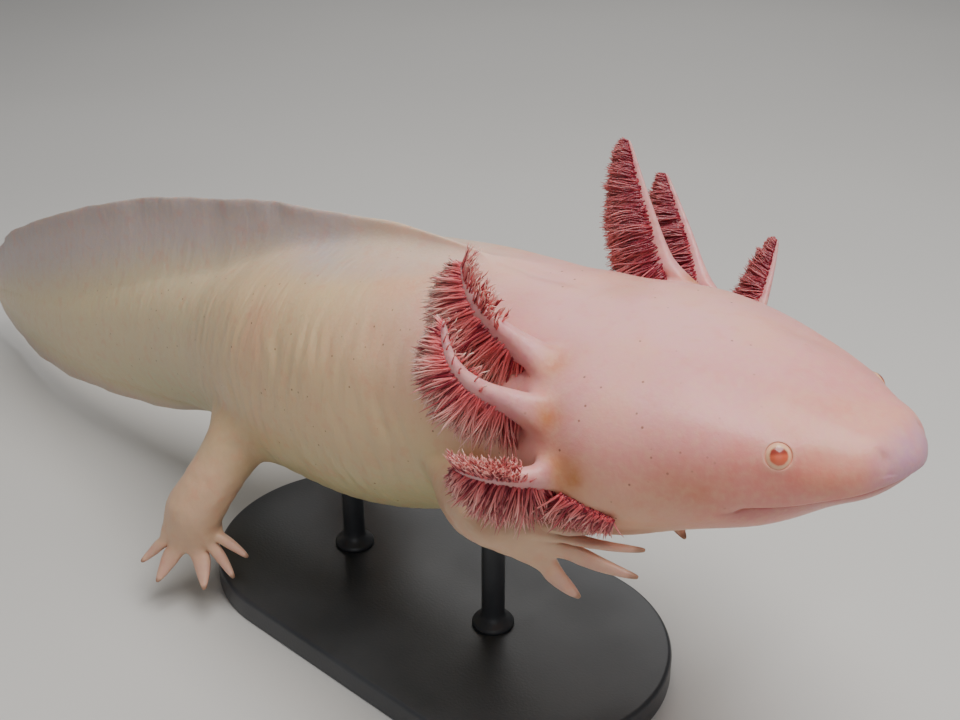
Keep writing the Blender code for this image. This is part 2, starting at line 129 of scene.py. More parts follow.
def bezier(p0: Array, p1: Array, p2: Array, t: Array) -> tuple[Array, Array]:
    """Points and unit directions on the curve (1−t)²p0 + 2t(1−t)p1 + t²p2."""
    t = np.atleast_1d(np.asarray(t, float))[:, None]
    point = (1 - t) ** 2 * p0 + 2 * t * (1 - t) * p1 + t * t * p2
    return point, unit(2 * (1 - t) * (p1 - p0) + 2 * t * (p2 - p1))


def carried_frames(slopes: Array, first: Array) -> tuple[Array, Array]:
    """Two unit vectors across each direction, turned as little as possible from one to the next.

    Args:
        slopes: unit directions along a path, shape (n, 3).
        first: the first crosswise vector at the path's start.

    Returns:
        Arrays of the first and second crosswise vectors.
    """
    firsts = []
    for slope in slopes:
        first = unit(first - slope * np.dot(first, slope))
        firsts.append(first)
    firsts = np.array(firsts)
    return firsts, np.cross(slopes, firsts)


def grid_noise(points: Array, scale: float, seed: int) -> Array:
    """Smooth wandering value of about ±1: a sum of sines along seeded random directions.

    Args:
        points: points in millimetres, shape (n, 3).
        scale: length of a wave in millimetres, about.
        seed: number that fixes the directions.

    Returns:
        One value for each point.
    """
    rng = np.random.default_rng(seed)
    total = np.zeros(len(points))
    for _ in range(7):
        way = unit(rng.normal(size=3)) * (2 * math.pi / scale) * rng.uniform(0.7, 1.5)
        total += np.sin(points @ way + rng.uniform(0, 6.28))
    return total / 2.6


def last_inside(outside: Callable[[Array], Array], low: Array, high: Array, rounds: int) -> Array:
    """The greatest values not yet outside, by halving between low, inside, and high, outside.

    Args:
        outside: tells for each value whether it is outside.
        low: values inside.
        high: values outside.
        rounds: how often the gap is halved.

    Returns:
        The greatest values known to be inside.
    """
    for _ in range(rounds):
        middle = (low + high) / 2
        out = outside(middle)
        high, low = np.where(out, middle, high), np.where(out, low, middle)
    return low


# ---------------------------------------------------------------- the body's plan
@dataclass(frozen=True)
class Bend:
    """Turn of the spine between two distances, in degrees."""

    start: float
    end: float
    yaw: float
    pitch: float


class Spine:
    """Points and axes along the animal's middle line, from snout to tail tip."""

    LENGTH = 250.0
    STEP = 0.5
    SHOULDER_S = 60.0
    ANCHOR = np.array([24.0, 0.0, 54.0])
    HEAD_YAW, HEAD_PITCH = 1.3, 7.9
    BENDS = (Bend(16, 46, 0.0, 4.2), Bend(38, 64, -1.3, 3.8), Bend(75, 115, 0.7, -5.3),
             Bend(115, 165, 3.1, 4.3), Bend(160, 235, -16.1, -3.5))

    def __init__(self) -> None:
        """Integrate the headward direction, whose yaw and pitch ease through each bend."""
        self.s = np.arange(0.0, self.LENGTH + self.STEP, self.STEP)
        yaw, pitch = np.full_like(self.s, self.HEAD_YAW), np.full_like(self.s, self.HEAD_PITCH)
        for bend in self.BENDS:
            share = ease(self.s, bend.start, bend.end)
            yaw, pitch = yaw + bend.yaw * share, pitch + bend.pitch * share
        yaw, pitch = np.radians(yaw), np.radians(pitch)
        self.ahead = np.stack([np.cos(pitch) * np.cos(yaw), np.cos(pitch) * np.sin(yaw), np.sin(pitch)], 1)
        self.left = np.stack([-np.sin(yaw), np.cos(yaw), np.zeros_like(yaw)], 1)
        self.up = np.cross(self.ahead, self.left)
        steps = (self.ahead[1:] + self.ahead[:-1]) / 2 * self.STEP
        run = np.vstack([np.zeros((1, 3)), -np.cumsum(steps, axis=0)])
        self.point = run - run[int(self.SHOULDER_S / self.STEP)] + self.ANCHOR

    def at(self, s: Array) -> tuple[Array, Array, Array, Array]:
        """Point, ahead, left and up at each distance s, shape (n, 3) each."""
        s = np.atleast_1d(np.asarray(s, float))
        return tuple(np.stack([np.interp(s, self.s, f[:, k]) for k in range(3)], 1)
                     for f in (self.point, self.ahead, self.left, self.up))

    def place(self, s: Array, side: Array, height: Array) -> Array:
        """World points at distance s, so far to the left and so high; s below 0 runs straight on."""
        s, side, height = np.broadcast_arrays(*(np.atleast_1d(np.asarray(a, float))
                                                for a in (s, side, height)))
        point, ahead, left, up = self.at(s)
        return point - ahead * np.minimum(s, 0.0)[:, None] + left * side[:, None] + up * height[:, None]

    def local(self, points: Array) -> tuple[Array, Array, Array]:
        """Distance, side and height of world points: s is stepped until the rest is crosswise.

        Args:
            points: points in millimetres, shape (n, 3).

        Returns:
            Distance, side and height of each point.
        """
        s = np.full(len(points), 80.0)
        for _ in range(24):
            centre, ahead, _, _ = self.at(s)
            ahead_of = np.einsum("ij,ij->i", points - centre, ahead)
            s = np.clip(s - ahead_of, -4.0, self.LENGTH + 4.0)
        centre, _, left, up = self.at(s)
        rest = points - centre
        return s, np.einsum("ij,ij->i", rest, left), np.einsum("ij,ij->i", rest, up)


@dataclass(frozen=True)
class BodyForm:
    """Outline of the body across the spine, and of its fins."""

    sections: tuple = (
        (0.0, 6.8, 4.2, 3.8, 2.2), (6.0, 9.7, 5.4, 5.3, 2.4), (16.0, 16.0, 9.2, 10.2, 2.4),
        (26.0, 20.5, 12.0, 12.7, 2.4), (36.0, 23.4, 14.1, 15.4, 2.4), (46.0, 22.6, 15.8, 17.0, 2.3),
        (56.0, 19.2, 17.9, 15.6, 2.2), (70.0, 20.6, 20.9, 18.9, 2.2), (90.0, 22.1, 22.6, 21.5, 2.2),
        (110.0, 20.1, 20.9, 20.0, 2.2), (125.0, 16.0, 17.6, 17.0, 2.1), (134.0, 13.2, 15.6, 16.4, 2.0),
        (150.0, 9.8, 14.3, 15.0, 1.9), (170.0, 7.2, 12.0, 13.0, 1.9), (200.0, 4.6, 8.4, 8.9, 1.9),
        (230.0, 2.4, 4.8, 4.6, 2.0), (250.0, 0.9, 1.0, 1.0, 2.0))
    nose_round: float = 6.0
    tail_round: float = 3.0
    upper_fin: tuple = ((64.0, 0.0), (70.0, 0.9), (80.0, 2.4), (95.0, 4.0), (110.0, 6.6), (130.0, 11.2),
                        (150.0, 13.4), (180.0, 14.8), (215.0, 13.0), (238.0, 8.6), (250.0, 3.0))
    lower_fin: tuple = ((140.0, 0.0), (146.0, 0.8), (156.0, 1.6), (163.0, 3.0), (171.0, 3.9), (180.0, 3.8),
                        (215.0, 6.2), (238.0, 5.4), (250.0, 2.6))
    gape_front: float = -1.2
    gape_corner: float = -5.4
    corner_s: float = 16.0
    smile: float = 1.2

    def sizes(self, s: Array) -> tuple[Array, Array, Array, Array]:
        """Half width, height above, depth below and squareness at each distance s.

        Args:
            s: distance behind the tip of the snout.

        Returns:
            Four arrays, one value for each distance.
        """
        table = np.array(self.sections)
        wide, above, below, square = (curve_through(s, table[:, 0], table[:, k]) for k in (1, 2, 3, 4))
        nose = np.sqrt(np.clip(1 - (1 - np.clip(s / self.nose_round, 0, 1)) ** 2, 0, 1))
        tail = np.sqrt(np.clip(1 - (1 - np.clip((Spine.LENGTH - s) / self.tail_round, 0, 1)) ** 2, 0, 1))
        close = np.maximum(nose * tail, 1e-3)
        return wide * close, above * close, below * close, square

    def inside(self, s: Array, side: Array, height: Array) -> Array:
        """Below one inside the body: |side/half width|ⁿ + |height/half height|ⁿ."""
        wide, above, below, square = self.sizes(s)
        tall = np.where(height > 0, above, below)
        value = np.abs(side / wide) ** square + np.abs(height / tall) ** square
        return np.where(s < 0.0, 9.0, value)

    def gape(self, s: Array) -> Array:
        """Height of the mouth line at distance s: a straight rise to the front, with the corner turned up."""
        share = np.asarray(s, float) / self.corner_s
        straight = self.gape_front + (self.gape_corner - self.gape_front) * share
        return straight + self.smile * ease(share, 0.6, 1.0)

    def fin_height(self, s: Array, upper: bool) -> Array:
        """Height of the blade above the back or below the belly, rounded off at the tail's tip."""
        table = np.array(self.upper_fin if upper else self.lower_fin)
        tall = curve_through(s, table[:, 0], table[:, 1])
        tall = np.where(np.asarray(s) < table[0, 0], 0.0, tall)
        close = np.sqrt(np.clip(1 - ((np.asarray(s, float) - 240.0) / 10.2) ** 2, 0, 1))
        return tall * np.where(np.asarray(s) > 240.0, close, 1.0)


# ---------------------------------------------------------------- the skin's cage
@dataclass
class Cage:
    """Coarse net of points and faces that smoothing turns into the skin."""

    points: list = field(default_factory=list)
    faces: list = field(default_factory=list)
    marks: dict = field(default_factory=dict)

    MARKS = ("limb", "digit", "gill", "plume", "socket", "body")

    def add(self, points: Array, **marks: float | Array) -> Array:
        """Add points with their marks, and give their numbers.

        Args:
            points: points in millimetres, shape (n, 3).
            marks: values of its marks by name, one for all points or one each; others are 0.

        Returns:
            The new points' numbers.
        """
        start = sum(len(p) for p in self.points)
        self.points.append(np.asarray(points, float))
        for name in self.MARKS:
            value = np.broadcast_to(np.asarray(marks.get(name, 0.0), float), (len(points),))
            self.marks.setdefault(name, []).append(value)
        return np.arange(start, start + len(points))

    def join(self, loop_a: Array, loop_b: Array) -> None:
        """Quads between two closed loops of equal length."""
        quads = np.stack([loop_a, np.roll(loop_a, -1), np.roll(loop_b, -1), loop_b], 1)
        self.faces.extend(quads.tolist())

    def fan(self, loop: Array, pole: int) -> None:
        """Triangles from a closed loop to one point."""
        self.faces.extend(np.stack([loop, np.roll(loop, -1), np.full(len(loop), pole)], 1).tolist())

    def graft(self, loop: Array, rings: Array, marks: list[dict], cap: bool = True) -> Array:
        """Grow a tube from a hole's edge.

        Args:
            loop: numbers of the points round the hole, in order.
            rings: the tube's rings, shape (k, n, 3), n being the loop's length.
            marks: the marks of each ring.
            cap: close the far end with a point.

        Returns:
            Numbers of the last ring's points, in the order of the rings given.
        """
        so_far = np.concatenate(self.points)
        edge, count = so_far[loop], len(loop)
        best = None
        for way in (1, -1):
            for turn in range(count):
                order = (way * np.arange(count) + turn) % count
                cost = float(((edge - rings[0][order]) ** 2).sum())
                if best is None or cost < best[0]:
                    best = (cost, order)
        order = best[1]
        last = loop
        for ring_points, ring_marks in zip(rings, marks):
            new = self.add(ring_points, **ring_marks)
            self.join(last, new[order])
            last = new[order]
        if cap:
            ends = {key: float(np.mean(value)) for key, value in marks[-1].items()}
            pole = self.add(rings[-1].mean(0, keepdims=True), **ends)[0]
            self.fan(last, pole)
        return new


@dataclass(frozen=True)
class Hole:
    """Block of cage cells left open for something to grow from: first ring and column, and how many."""

    ring: int
    column: int
    rings: int
    columns: int

    def edge(self, columns: int) -> Array:
        """Numbers of the grid points round the block, in order, for a grid of so many columns.

        Args:
            columns: number of columns of the whole grid.

        Returns:
            The points' numbers.
        """
        r0, r1, c0, c1 = self.ring, self.ring + self.rings, self.column, self.column + self.columns
        top = [(r0, c) for c in range(c0, c1)]
        right = [(r, c1) for r in range(r0, r1)]
        low = [(r1, c) for c in range(c1, c0, -1)]
        left = [(r, c0) for r in range(r1, r0, -1)]
        return np.array([r * columns + c % columns for r, c in top + right + low + left])


class Trunk:
    """Head, neck, trunk and tail as one grid of rings with holes for what grows from it."""

    COLUMNS = 52
    MOUTH = 8            # column that runs along the mouth line, counted up from the belly
    LONGEST_RAY = 40.0   # farther than the surface lies from any point in the mouth
    BACK, FLANK = COLUMNS // 2, COLUMNS // 4     # columns along the back and along the side
    FIN_COLUMNS = 4      # columns each side of the middle line that the fin's blade takes
    FIN_STARTS, FIN_EASE = {True: 58.0, False: 134.0}, 10.0     # of the upper and the lower fin
    TAIL_POLE = (249.8, 0.0, 0.6)

    def __init__(self, spine: Spine, form: BodyForm) -> None:
        """Work out where the rings stand.

        Args:
            spine: the animal's middle line.
            form: the body's outline.
        """
        self.spine, self.form = spine, form
        head = np.concatenate([np.array([6.8, 8.6]), 10.4 + 1.8 * np.arange(16)])
        neck = 39.4 + 2.0 * np.arange(10)
        trunk = 59.8 + 2.55 * np.arange(31)
        tail = np.array([139.8, 145.2, 152.0, 160.5, 170.5, 181.5, 193.0, 205.0, 216.5, 227.0, 236.0, 243.0,
                         248.2])
        self.stations = np.concatenate([head, neck, trunk, tail])
        self.cap_steps = np.array([0.10, 0.24, 0.40, 0.56, 0.72, 0.87])
        self.first = len(self.cap_steps)

    def half_angles(self, s: float) -> Array:
        """Angles of the right half's columns, from the belly's middle (−90°) up to the back's middle (90°).

        The outline is walked in even steps of length, but for the mouth's column, which keeps to the gape
        with a close neighbour on each side, until that crowding eases away behind the corner.

        Args:
            s: distance behind the tip of the snout.

        Returns:
            The angles, in radians.
        """
        wide, above, below, square = (float(v[0]) for v in self.form.sizes(np.array([s])))
        dense = np.linspace(-math.pi / 2, math.pi / 2, 721)
        side, height = self.outline(dense, wide, above, below, square)
        run = np.concatenate([[0.0], np.cumsum(np.hypot(np.diff(side), np.diff(height)))])
        total, half = run[-1], self.COLUMNS // 2
        even = np.linspace(0.0, total, half + 1)
        at_gape = float(np.interp(float(self.form.gape(s)), height, run))
        crowd = 1.0 - float(ease(s, self.form.corner_s - 1.0, self.form.corner_s + 13.0))
        gap = 0.42 + 2.0 * (1.0 - crowd)
        low = np.linspace(0.0, at_gape - gap, self.MOUTH)
        high = np.linspace(at_gape + gap, total, half - self.MOUTH)
        tight = np.concatenate([low, [at_gape], high])
        want = even * (1 - crowd) + tight * crowd
        return np.interp(want, run, dense)

    @staticmethod
    def outline(angle: Array, wide: float, above: float, below: float, square: float) -> tuple[Array, Array]:
        """Side and height of a super-ellipse at each angle."""
        c, d = np.cos(angle), np.sin(angle)
        side = np.abs(c) ** (2 / square) * wide
        height = np.sign(d) * np.abs(d) ** (2 / square) * np.where(d > 0, above, below)
        return side, height

    def half_ring(self, s: float) -> tuple[Array, Array]:
        """Side and height of the columns of one half, belly to back, with the fins drawn out.

        Args:
            s: distance behind the tip of the snout.

        Returns:
            Side and height of each column.
        """
        wide, above, below, square = (float(v[0]) for v in self.form.sizes(np.array([s])))
        angle = self.half_angles(s)
        side, height = self.outline(angle, wide, above, below, square)
        for upper in (True, False):
            tall = float(self.form.fin_height(np.array([s]), upper)[0])
            start = self.FIN_STARTS[upper]
            share = float(ease(s, start, start + self.FIN_EASE))
            if share <= 0.0:
                continue
            tall += 0.3 * share
            foot_half = min(1.5 + 0.13 * tall, 0.62 * wide + 0.2)
            blade = np.array([0.0, min(0.58, 0.30 + 0.05 * tall), min(0.86, 0.40 + 0.09 * tall), foot_half])
            rise = np.array([1.035, 0.93, 0.45, 0.0]) * tall
            body = (above if upper else below) * (1 - np.minimum(blade / wide, 1.0) ** square) ** (1 / square)
            x, y = blade, (body * 0.4 + (above if upper else below) * 0.6) + rise
            y[3] = body[3] + 0.03 * tall
            y[:3] = np.maximum(y[:3], y[3] + 0.02)
            pick = np.arange(self.FIN_COLUMNS)
            pick = self.BACK - pick if upper else pick
            side[pick] = side[pick] * (1 - share) + x * share
            sign = 1.0 if upper else -1.0
            height[pick] = height[pick] * (1 - share) + sign * y * share
            # the rest of the half spreads over what the fin leaves, in even steps of angle
            edge = math.acos(min(1.0, (foot_half / wide) ** (square / 2))) * sign
            anchor, steps = angle[self.FLANK], self.FLANK - 2
            if upper:
                other = np.arange(self.FLANK, self.BACK - self.FIN_COLUMNS + 1)
                spread = np.linspace(anchor, edge, steps)[:-1]
            else:
                other = np.arange(self.FIN_COLUMNS, self.FLANK)
                spread = np.linspace(edge, anchor, steps)[1:-1]
            new_side, new_height = self.outline(spread, wide, above, below, square)
            side[other] = side[other] * (1 - share) + new_side * share
            height[other] = height[other] * (1 - share) + new_height * share
        side[0] = side[-1] = 0.0
        return side, height

    def full_ring(self, s: float) -> tuple[Array, Array]:
        """Side and height of all columns: up the right flank, down the left."""
        side, height = self.half_ring(s)
        return np.concatenate([-side, side[-2:0:-1]]), np.concatenate([height, height[-2:0:-1]])

    def snout(self) -> tuple[Array, Array]:
        """Rings of the snout's round front, and its pole on the mouth line.

        Each column runs from the pole straight to the first flat ring, and is pushed out to the surface
        along rays from a point inside the mouth, so the mouth's column stays on the mouth line.

        Returns:
            Coordinates s, side and height of the rings, and of the pole.
        """
        s1 = float(self.stations[0])
        side, height = self.full_ring(s1)
        goal = np.stack([np.full_like(side, s1), side, height], 1)
        heart = np.array([s1 + 1.5, 0.0, float(self.form.gape(s1 + 1.5))])
        front = np.array([0.0, 0.0, float(self.form.gape(0.0))])
        pole = self.pushed_out(heart, front[None] - heart)[0]
        rings = []
        for share in self.cap_steps:
            straight = pole * (1 - share) + goal * share
            rings.append(self.pushed_out(heart, straight - heart))
        return np.array(rings), pole

    def pushed_out(self, heart: Array, rays: Array) -> Array:
        """Where rays from the heart meet the surface, by halving: coordinates s, side, height."""
        rays = unit(rays)
        reach = last_inside(lambda far: self.form.inside(*(heart + rays * far[:, None]).T) > 1.0,
                            np.zeros(len(rays)), np.full(len(rays), self.LONGEST_RAY), 46)
        return heart + rays * reach[:, None]

    def grid(self) -> tuple[Array, Array, Array]:
        """World points of all rings, the pole of the snout and the pole of the tail.

        Returns:
            The rings, shape (rings, columns, 3), and the two poles.
        """
        cap, pole = self.snout()
        rings = [self.spine.place(r[:, 0], r[:, 1], r[:, 2]) for r in cap]
        for s in self.stations:
            side, height = self.full_ring(float(s))
            rings.append(self.spine.place(np.full(len(side), s), side, height))
        return np.array(rings), self.spine.place(*pole)[0], self.spine.place(*self.TAIL_POLE)[0]

    def hole_at(self, rings: Array, point: Array, across: int, along: int) -> Hole:
        """The block of cells whose middle lies nearest a point of the surface.

        Args:
            rings: the grid, shape (rings, columns, 3).
            point: world point.
            across: number of columns in the block.
            along: number of rings in the block.

        Returns:
            The block.
        """
        centres = (rings[:-1] + rings[1:]) / 2 if along % 2 else rings
        if across % 2:
            centres = (centres + np.roll(centres, -1, axis=1)) / 2
        gap = np.linalg.norm(centres - point, axis=2)
        r, c = np.unravel_index(int(np.argmin(gap)), gap.shape)
        return Hole(int(r) - along // 2, int(c) - across // 2, along, across)

    def lay(self, cage: Cage, rings: Array, poles: tuple[Array, Array], holes: list[Hole]) -> None:
        """Put the grid into the cage, with its holes open and its two ends closed.

        Args:
            cage: the net that is added to.
            rings: the grid's points.
            poles: points of the snout's and the tail's end.
            holes: blocks of cells that stay open.
        """
        count, columns = rings.shape[:2]
        cage.add(rings.reshape(-1, 3), body=1.0)
        nose = cage.add(poles[0][None], body=1.0)[0]
        tail = cage.add(poles[1][None], body=1.0)[0]
        keep = np.ones((count - 1, columns), bool)
        for hole in holes:
            cols = (hole.column + np.arange(hole.columns)) % columns
            keep[np.ix_(range(hole.ring, hole.ring + hole.rings), cols)] = False
        number = np.arange(count * columns).reshape(count, columns)
        beside = np.roll(number, -1, axis=1)
        quads = np.stack([number[:-1], beside[:-1], beside[1:], number[1:]], 2)[keep]
        cage.faces.extend(quads.tolist())
        cage.fan(number[0], nose)
        cage.fan(number[-1], tail)


# ---------------------------------------------------------------- limbs
class Kind(Enum):
    """Fore or hind limb."""

    ARM = "arm"
    LEG = "leg"


@dataclass(frozen=True)
class Limb:
    """A leg or arm, from its root in the body to its digits' tips; places are from the shoulder's anchor."""

    name: str
    kind: Kind
    root: tuple
    joint: tuple
    end: tuple
    tips: tuple

    RADII = {Kind.ARM: (5.2, 4.2, 3.9, 3.7), Kind.LEG: (6.8, 5.1, 4.8, 5.2)}
    HOLE = {Kind.ARM: (4, 5), Kind.LEG: (5, 6)}          # cells across and along the hole it grows from
    SLEEVE = {Kind.ARM: 0.10, Kind.LEG: 0.07}            # share of the path between hole and first ring
    JOINT_SHARE = {Kind.ARM: 0.5, Kind.LEG: 0.32}        # where elbow or knee lies on the path
    HUB_LEAD, RIM_GAP = 1.0, 9.0
    PALM_SHARE = {Kind.ARM: 0.46, Kind.LEG: 0.50}
    PALM_THICKNESS = {Kind.ARM: 2.1, Kind.LEG: 2.6}
    TIP_RADIUS = 0.38
    DIGIT_FULLNESS = 1.6
    DIGIT_CORNERS = ((-1, 0.66), (0, 1), (1, 0.66), (1, -0.66), (0, -1), (-1, -0.66))
    # rings of a digit: share along it, and how far it is drawn in
    DIGIT_RINGS = ((0.14, 1.0), (0.34, 1.0), (0.56, 1.0), (0.78, 1.0), (0.93, 0.88), (1.0, 0.6))
    RINGS = 8

    def path(self, t: Array) -> tuple[Array, Array]:
        """Points and directions along the limb."""
        root, joint, end = (np.array(p, float) + Spine.ANCHOR for p in (self.root, self.joint, self.end))
        return bezier(root, 2 * joint - (root + end) / 2, end, t)

    def palm(self) -> dict[str, Array | float | int]:
        """The palm's plane: its hub, the digits' directions and the columns of its front edge.

        Returns:
            Points, directions, sizes and the number of columns, by name.
        """
        wrist, slope = (a[0] for a in self.path(np.array([1.0])))
        hub = wrist + slope * (0.3 + self.HUB_LEAD)
        arms = wrist + np.array(self.tips, float) - hub
        flat = unit(np.cross(arms[0], arms[-1]))
        reach = unit(arms).sum(0)
        reach = unit(reach - flat * np.dot(reach, flat))
        across = np.cross(flat, reach)
        turns = np.arctan2(arms @ across, arms @ reach)
        rim = min(0.5 * (turns[-1] - turns[0]) / (len(turns) - 1), math.radians(self.RIM_GAP))
        edges = np.concatenate([[turns[0] - rim], (turns[1:] + turns[:-1]) / 2, [turns[-1] + rim]])
        columns = np.empty(2 * len(turns) + 1)
        columns[0::2], columns[1::2] = edges, turns
        return {"hub": hub, "arms": arms, "flat": flat, "reach": reach, "across": across, "columns": columns,
                "radius": self.PALM_SHARE[self.kind] * float(np.linalg.norm(arms, axis=1).mean()),
                "wrist": wrist, "slope": slope, "count": len(columns)}

    def radius(self, t: Array) -> Array:
        """The limb's radius along its path, a little fuller over the muscles."""
        knots = np.array([0.0, 0.45, 0.75, 1.0])
        base = curve_through(t, knots, np.array(self.RADII[self.kind]))
        return base * (1.0 + 0.03 * bump(t, 0.33, 0.12) - 0.03 * bump(t, 0.56, 0.07))

    def exit_share(self, spine: Spine, form: BodyForm) -> float:
        """How far along its path the limb's middle leaves the body."""
        t = np.linspace(0.0, 0.9, 181)
        s, side, height = spine.local(self.path(t)[0])
        out = form.inside(s, side, height) > 1.0
        return float(t[np.argmax(out)])

    def rings(self, start: float) -> tuple[Array, Array]:
        """Rings from a share of the path down to the wrist, and how far along each is.

        Args:
            start: share of the path where the first ring stands.

        Returns:
            The rings, shape (k, n, 3), and their shares of the path.
        """
        palm = self.palm()
        t = np.linspace(start, 1.0, self.RINGS)
        points, slopes = self.path(t)
        firsts, seconds = carried_frames(slopes[::-1], palm["across"])
        firsts, seconds = firsts[::-1], seconds[::-1]
        if np.dot(seconds[-1], palm["flat"]) < 0:
            seconds = -seconds
        angle = math.pi - (np.arange(2 * palm["count"]) + 0.5) * math.pi / palm["count"]
        radius = self.radius(t) * 1.02
        way = (np.cos(angle)[None, :, None] * firsts[:, None]
               + np.sin(angle)[None, :, None] * seconds[:, None])
        return points[:, None] + radius[:, None, None] * way, t

    def grow(self, cage: Cage, edge: Array, start: float) -> None:
        """Grow the limb from the edge of its hole in the body: sleeve, palm and digits.

        Args:
            cage: the net that is added to.
            edge: numbers of the points round the hole, in order.
            start: share of the path where the first ring stands.
        """
        rings, t = self.rings(start)
        marks = [{"limb": float(0.35 + 0.65 * ease(share, start, 0.7))} for share in t]
        wrist = cage.graft(edge, rings, marks, cap=False)
        palm = self.palm()
        n = palm["count"]
        turn = palm["columns"]
        front = palm["hub"] + palm["radius"] * (np.cos(turn)[:, None] * palm["reach"]
                                                + np.sin(turn)[:, None] * palm["across"])
        digit_column = np.arange(n) % 2 == 1
        thickness = self.PALM_THICKNESS[self.kind]
        rise = thickness / 2 * np.where(digit_column, 1.06, 0.66)
        upper, lower = front + palm["flat"] * rise[:, None], front - palm["flat"] * rise[:, None]
        edge_ring = np.concatenate([upper, lower[::-1]])
        wrist_ring = rings[-1]
        half = cage.add(wrist_ring * 0.5 + edge_ring * 0.5, limb=1.0, digit=0.12)
        cage.join(wrist, half)
        rim = cage.add(edge_ring, limb=1.0, digit=0.25)
        cage.join(half, rim)
        corners = np.array(self.DIGIT_CORNERS, float)
        for index, arm in enumerate(palm["arms"]):
            c = 2 * index
            loop = np.array([rim[c], rim[c + 1], rim[c + 2], rim[2 * n - 3 - c], rim[2 * n - 2 - c],
                             rim[2 * n - 1 - c]])
            root, tip = front[c + 1], palm["hub"] + arm
            side = front[c + 2] - front[c]
            wide = float(np.linalg.norm(side)) / 2
            side /= 2 * wide
            bow = palm["flat"] * 0.05 * float(np.linalg.norm(tip - root))
            for share, squeeze in self.DIGIT_RINGS:
                full = 1 - share ** self.DIGIT_FULLNESS
                half_wide = (self.TIP_RADIUS + (wide * 0.92 - self.TIP_RADIUS) * full) * 1.12 * squeeze
                thick = (self.TIP_RADIUS + (thickness / 2 - self.TIP_RADIUS) * full) * 1.14 * squeeze
                point = root + (tip - root) * share + bow * math.sin(math.pi * share)
                ring = point + side * half_wide * corners[:, :1] + palm["flat"] * thick * corners[:, 1:]
                new = cage.add(ring, limb=1.0, digit=0.25 + 0.75 * share)
                cage.join(loop, new)
                loop = new
            pole = cage.add(tip[None], limb=1.0, digit=1.0)[0]
            cage.fan(loop, pole)


LIMBS = (
    Limb("arm_right", Kind.ARM, (-3.0, -12.0, -8.5), (5.9, -22.4, -6.3), (13.8, -24.7, -5.9),
         ((11.1, 3.9, -8.7), (19.0, 5.7, -2.4), (19.1, 6.7, 1.4), (12.8, 4.6, 2.6))),
    Limb("arm_left", Kind.ARM, (-3.0, 12.0, -8.5), (0.5, 22.0, -14.0), (8.0, 18.5, -20.5),
         ((1.3, -6.5, -5.6), (11.5, -6.3, -4.1), (13.0, -1.5, 0.0), (8.6, 3.7, 3.9))),
    Limb("leg_right", Kind.LEG, (-55.0, -9.0, -18.0), (-54.5, -19.5, -26.4), (-57.5, -25.6, -36.0),
         ((9.8, 3.6, -7.0), (9.5, 0.4, -9.9), (7.3, -4.4, -10.9), (-1.1, -8.4, -11.3), (-5.4, -8.4, -9.1))),
    Limb("leg_left", Kind.LEG, (-56.0, 9.0, -18.0), (-61.0, 23.0, -22.5), (-69.0, 27.0, -26.5),
         ((-6.1, 3.8, -10.1), (-10.8, 1.6, -9.0), (-13.6, -1.5, -5.4), (-13.4, -4.2, -0.5),
          (-10.5, -5.5, 3.4))),
)


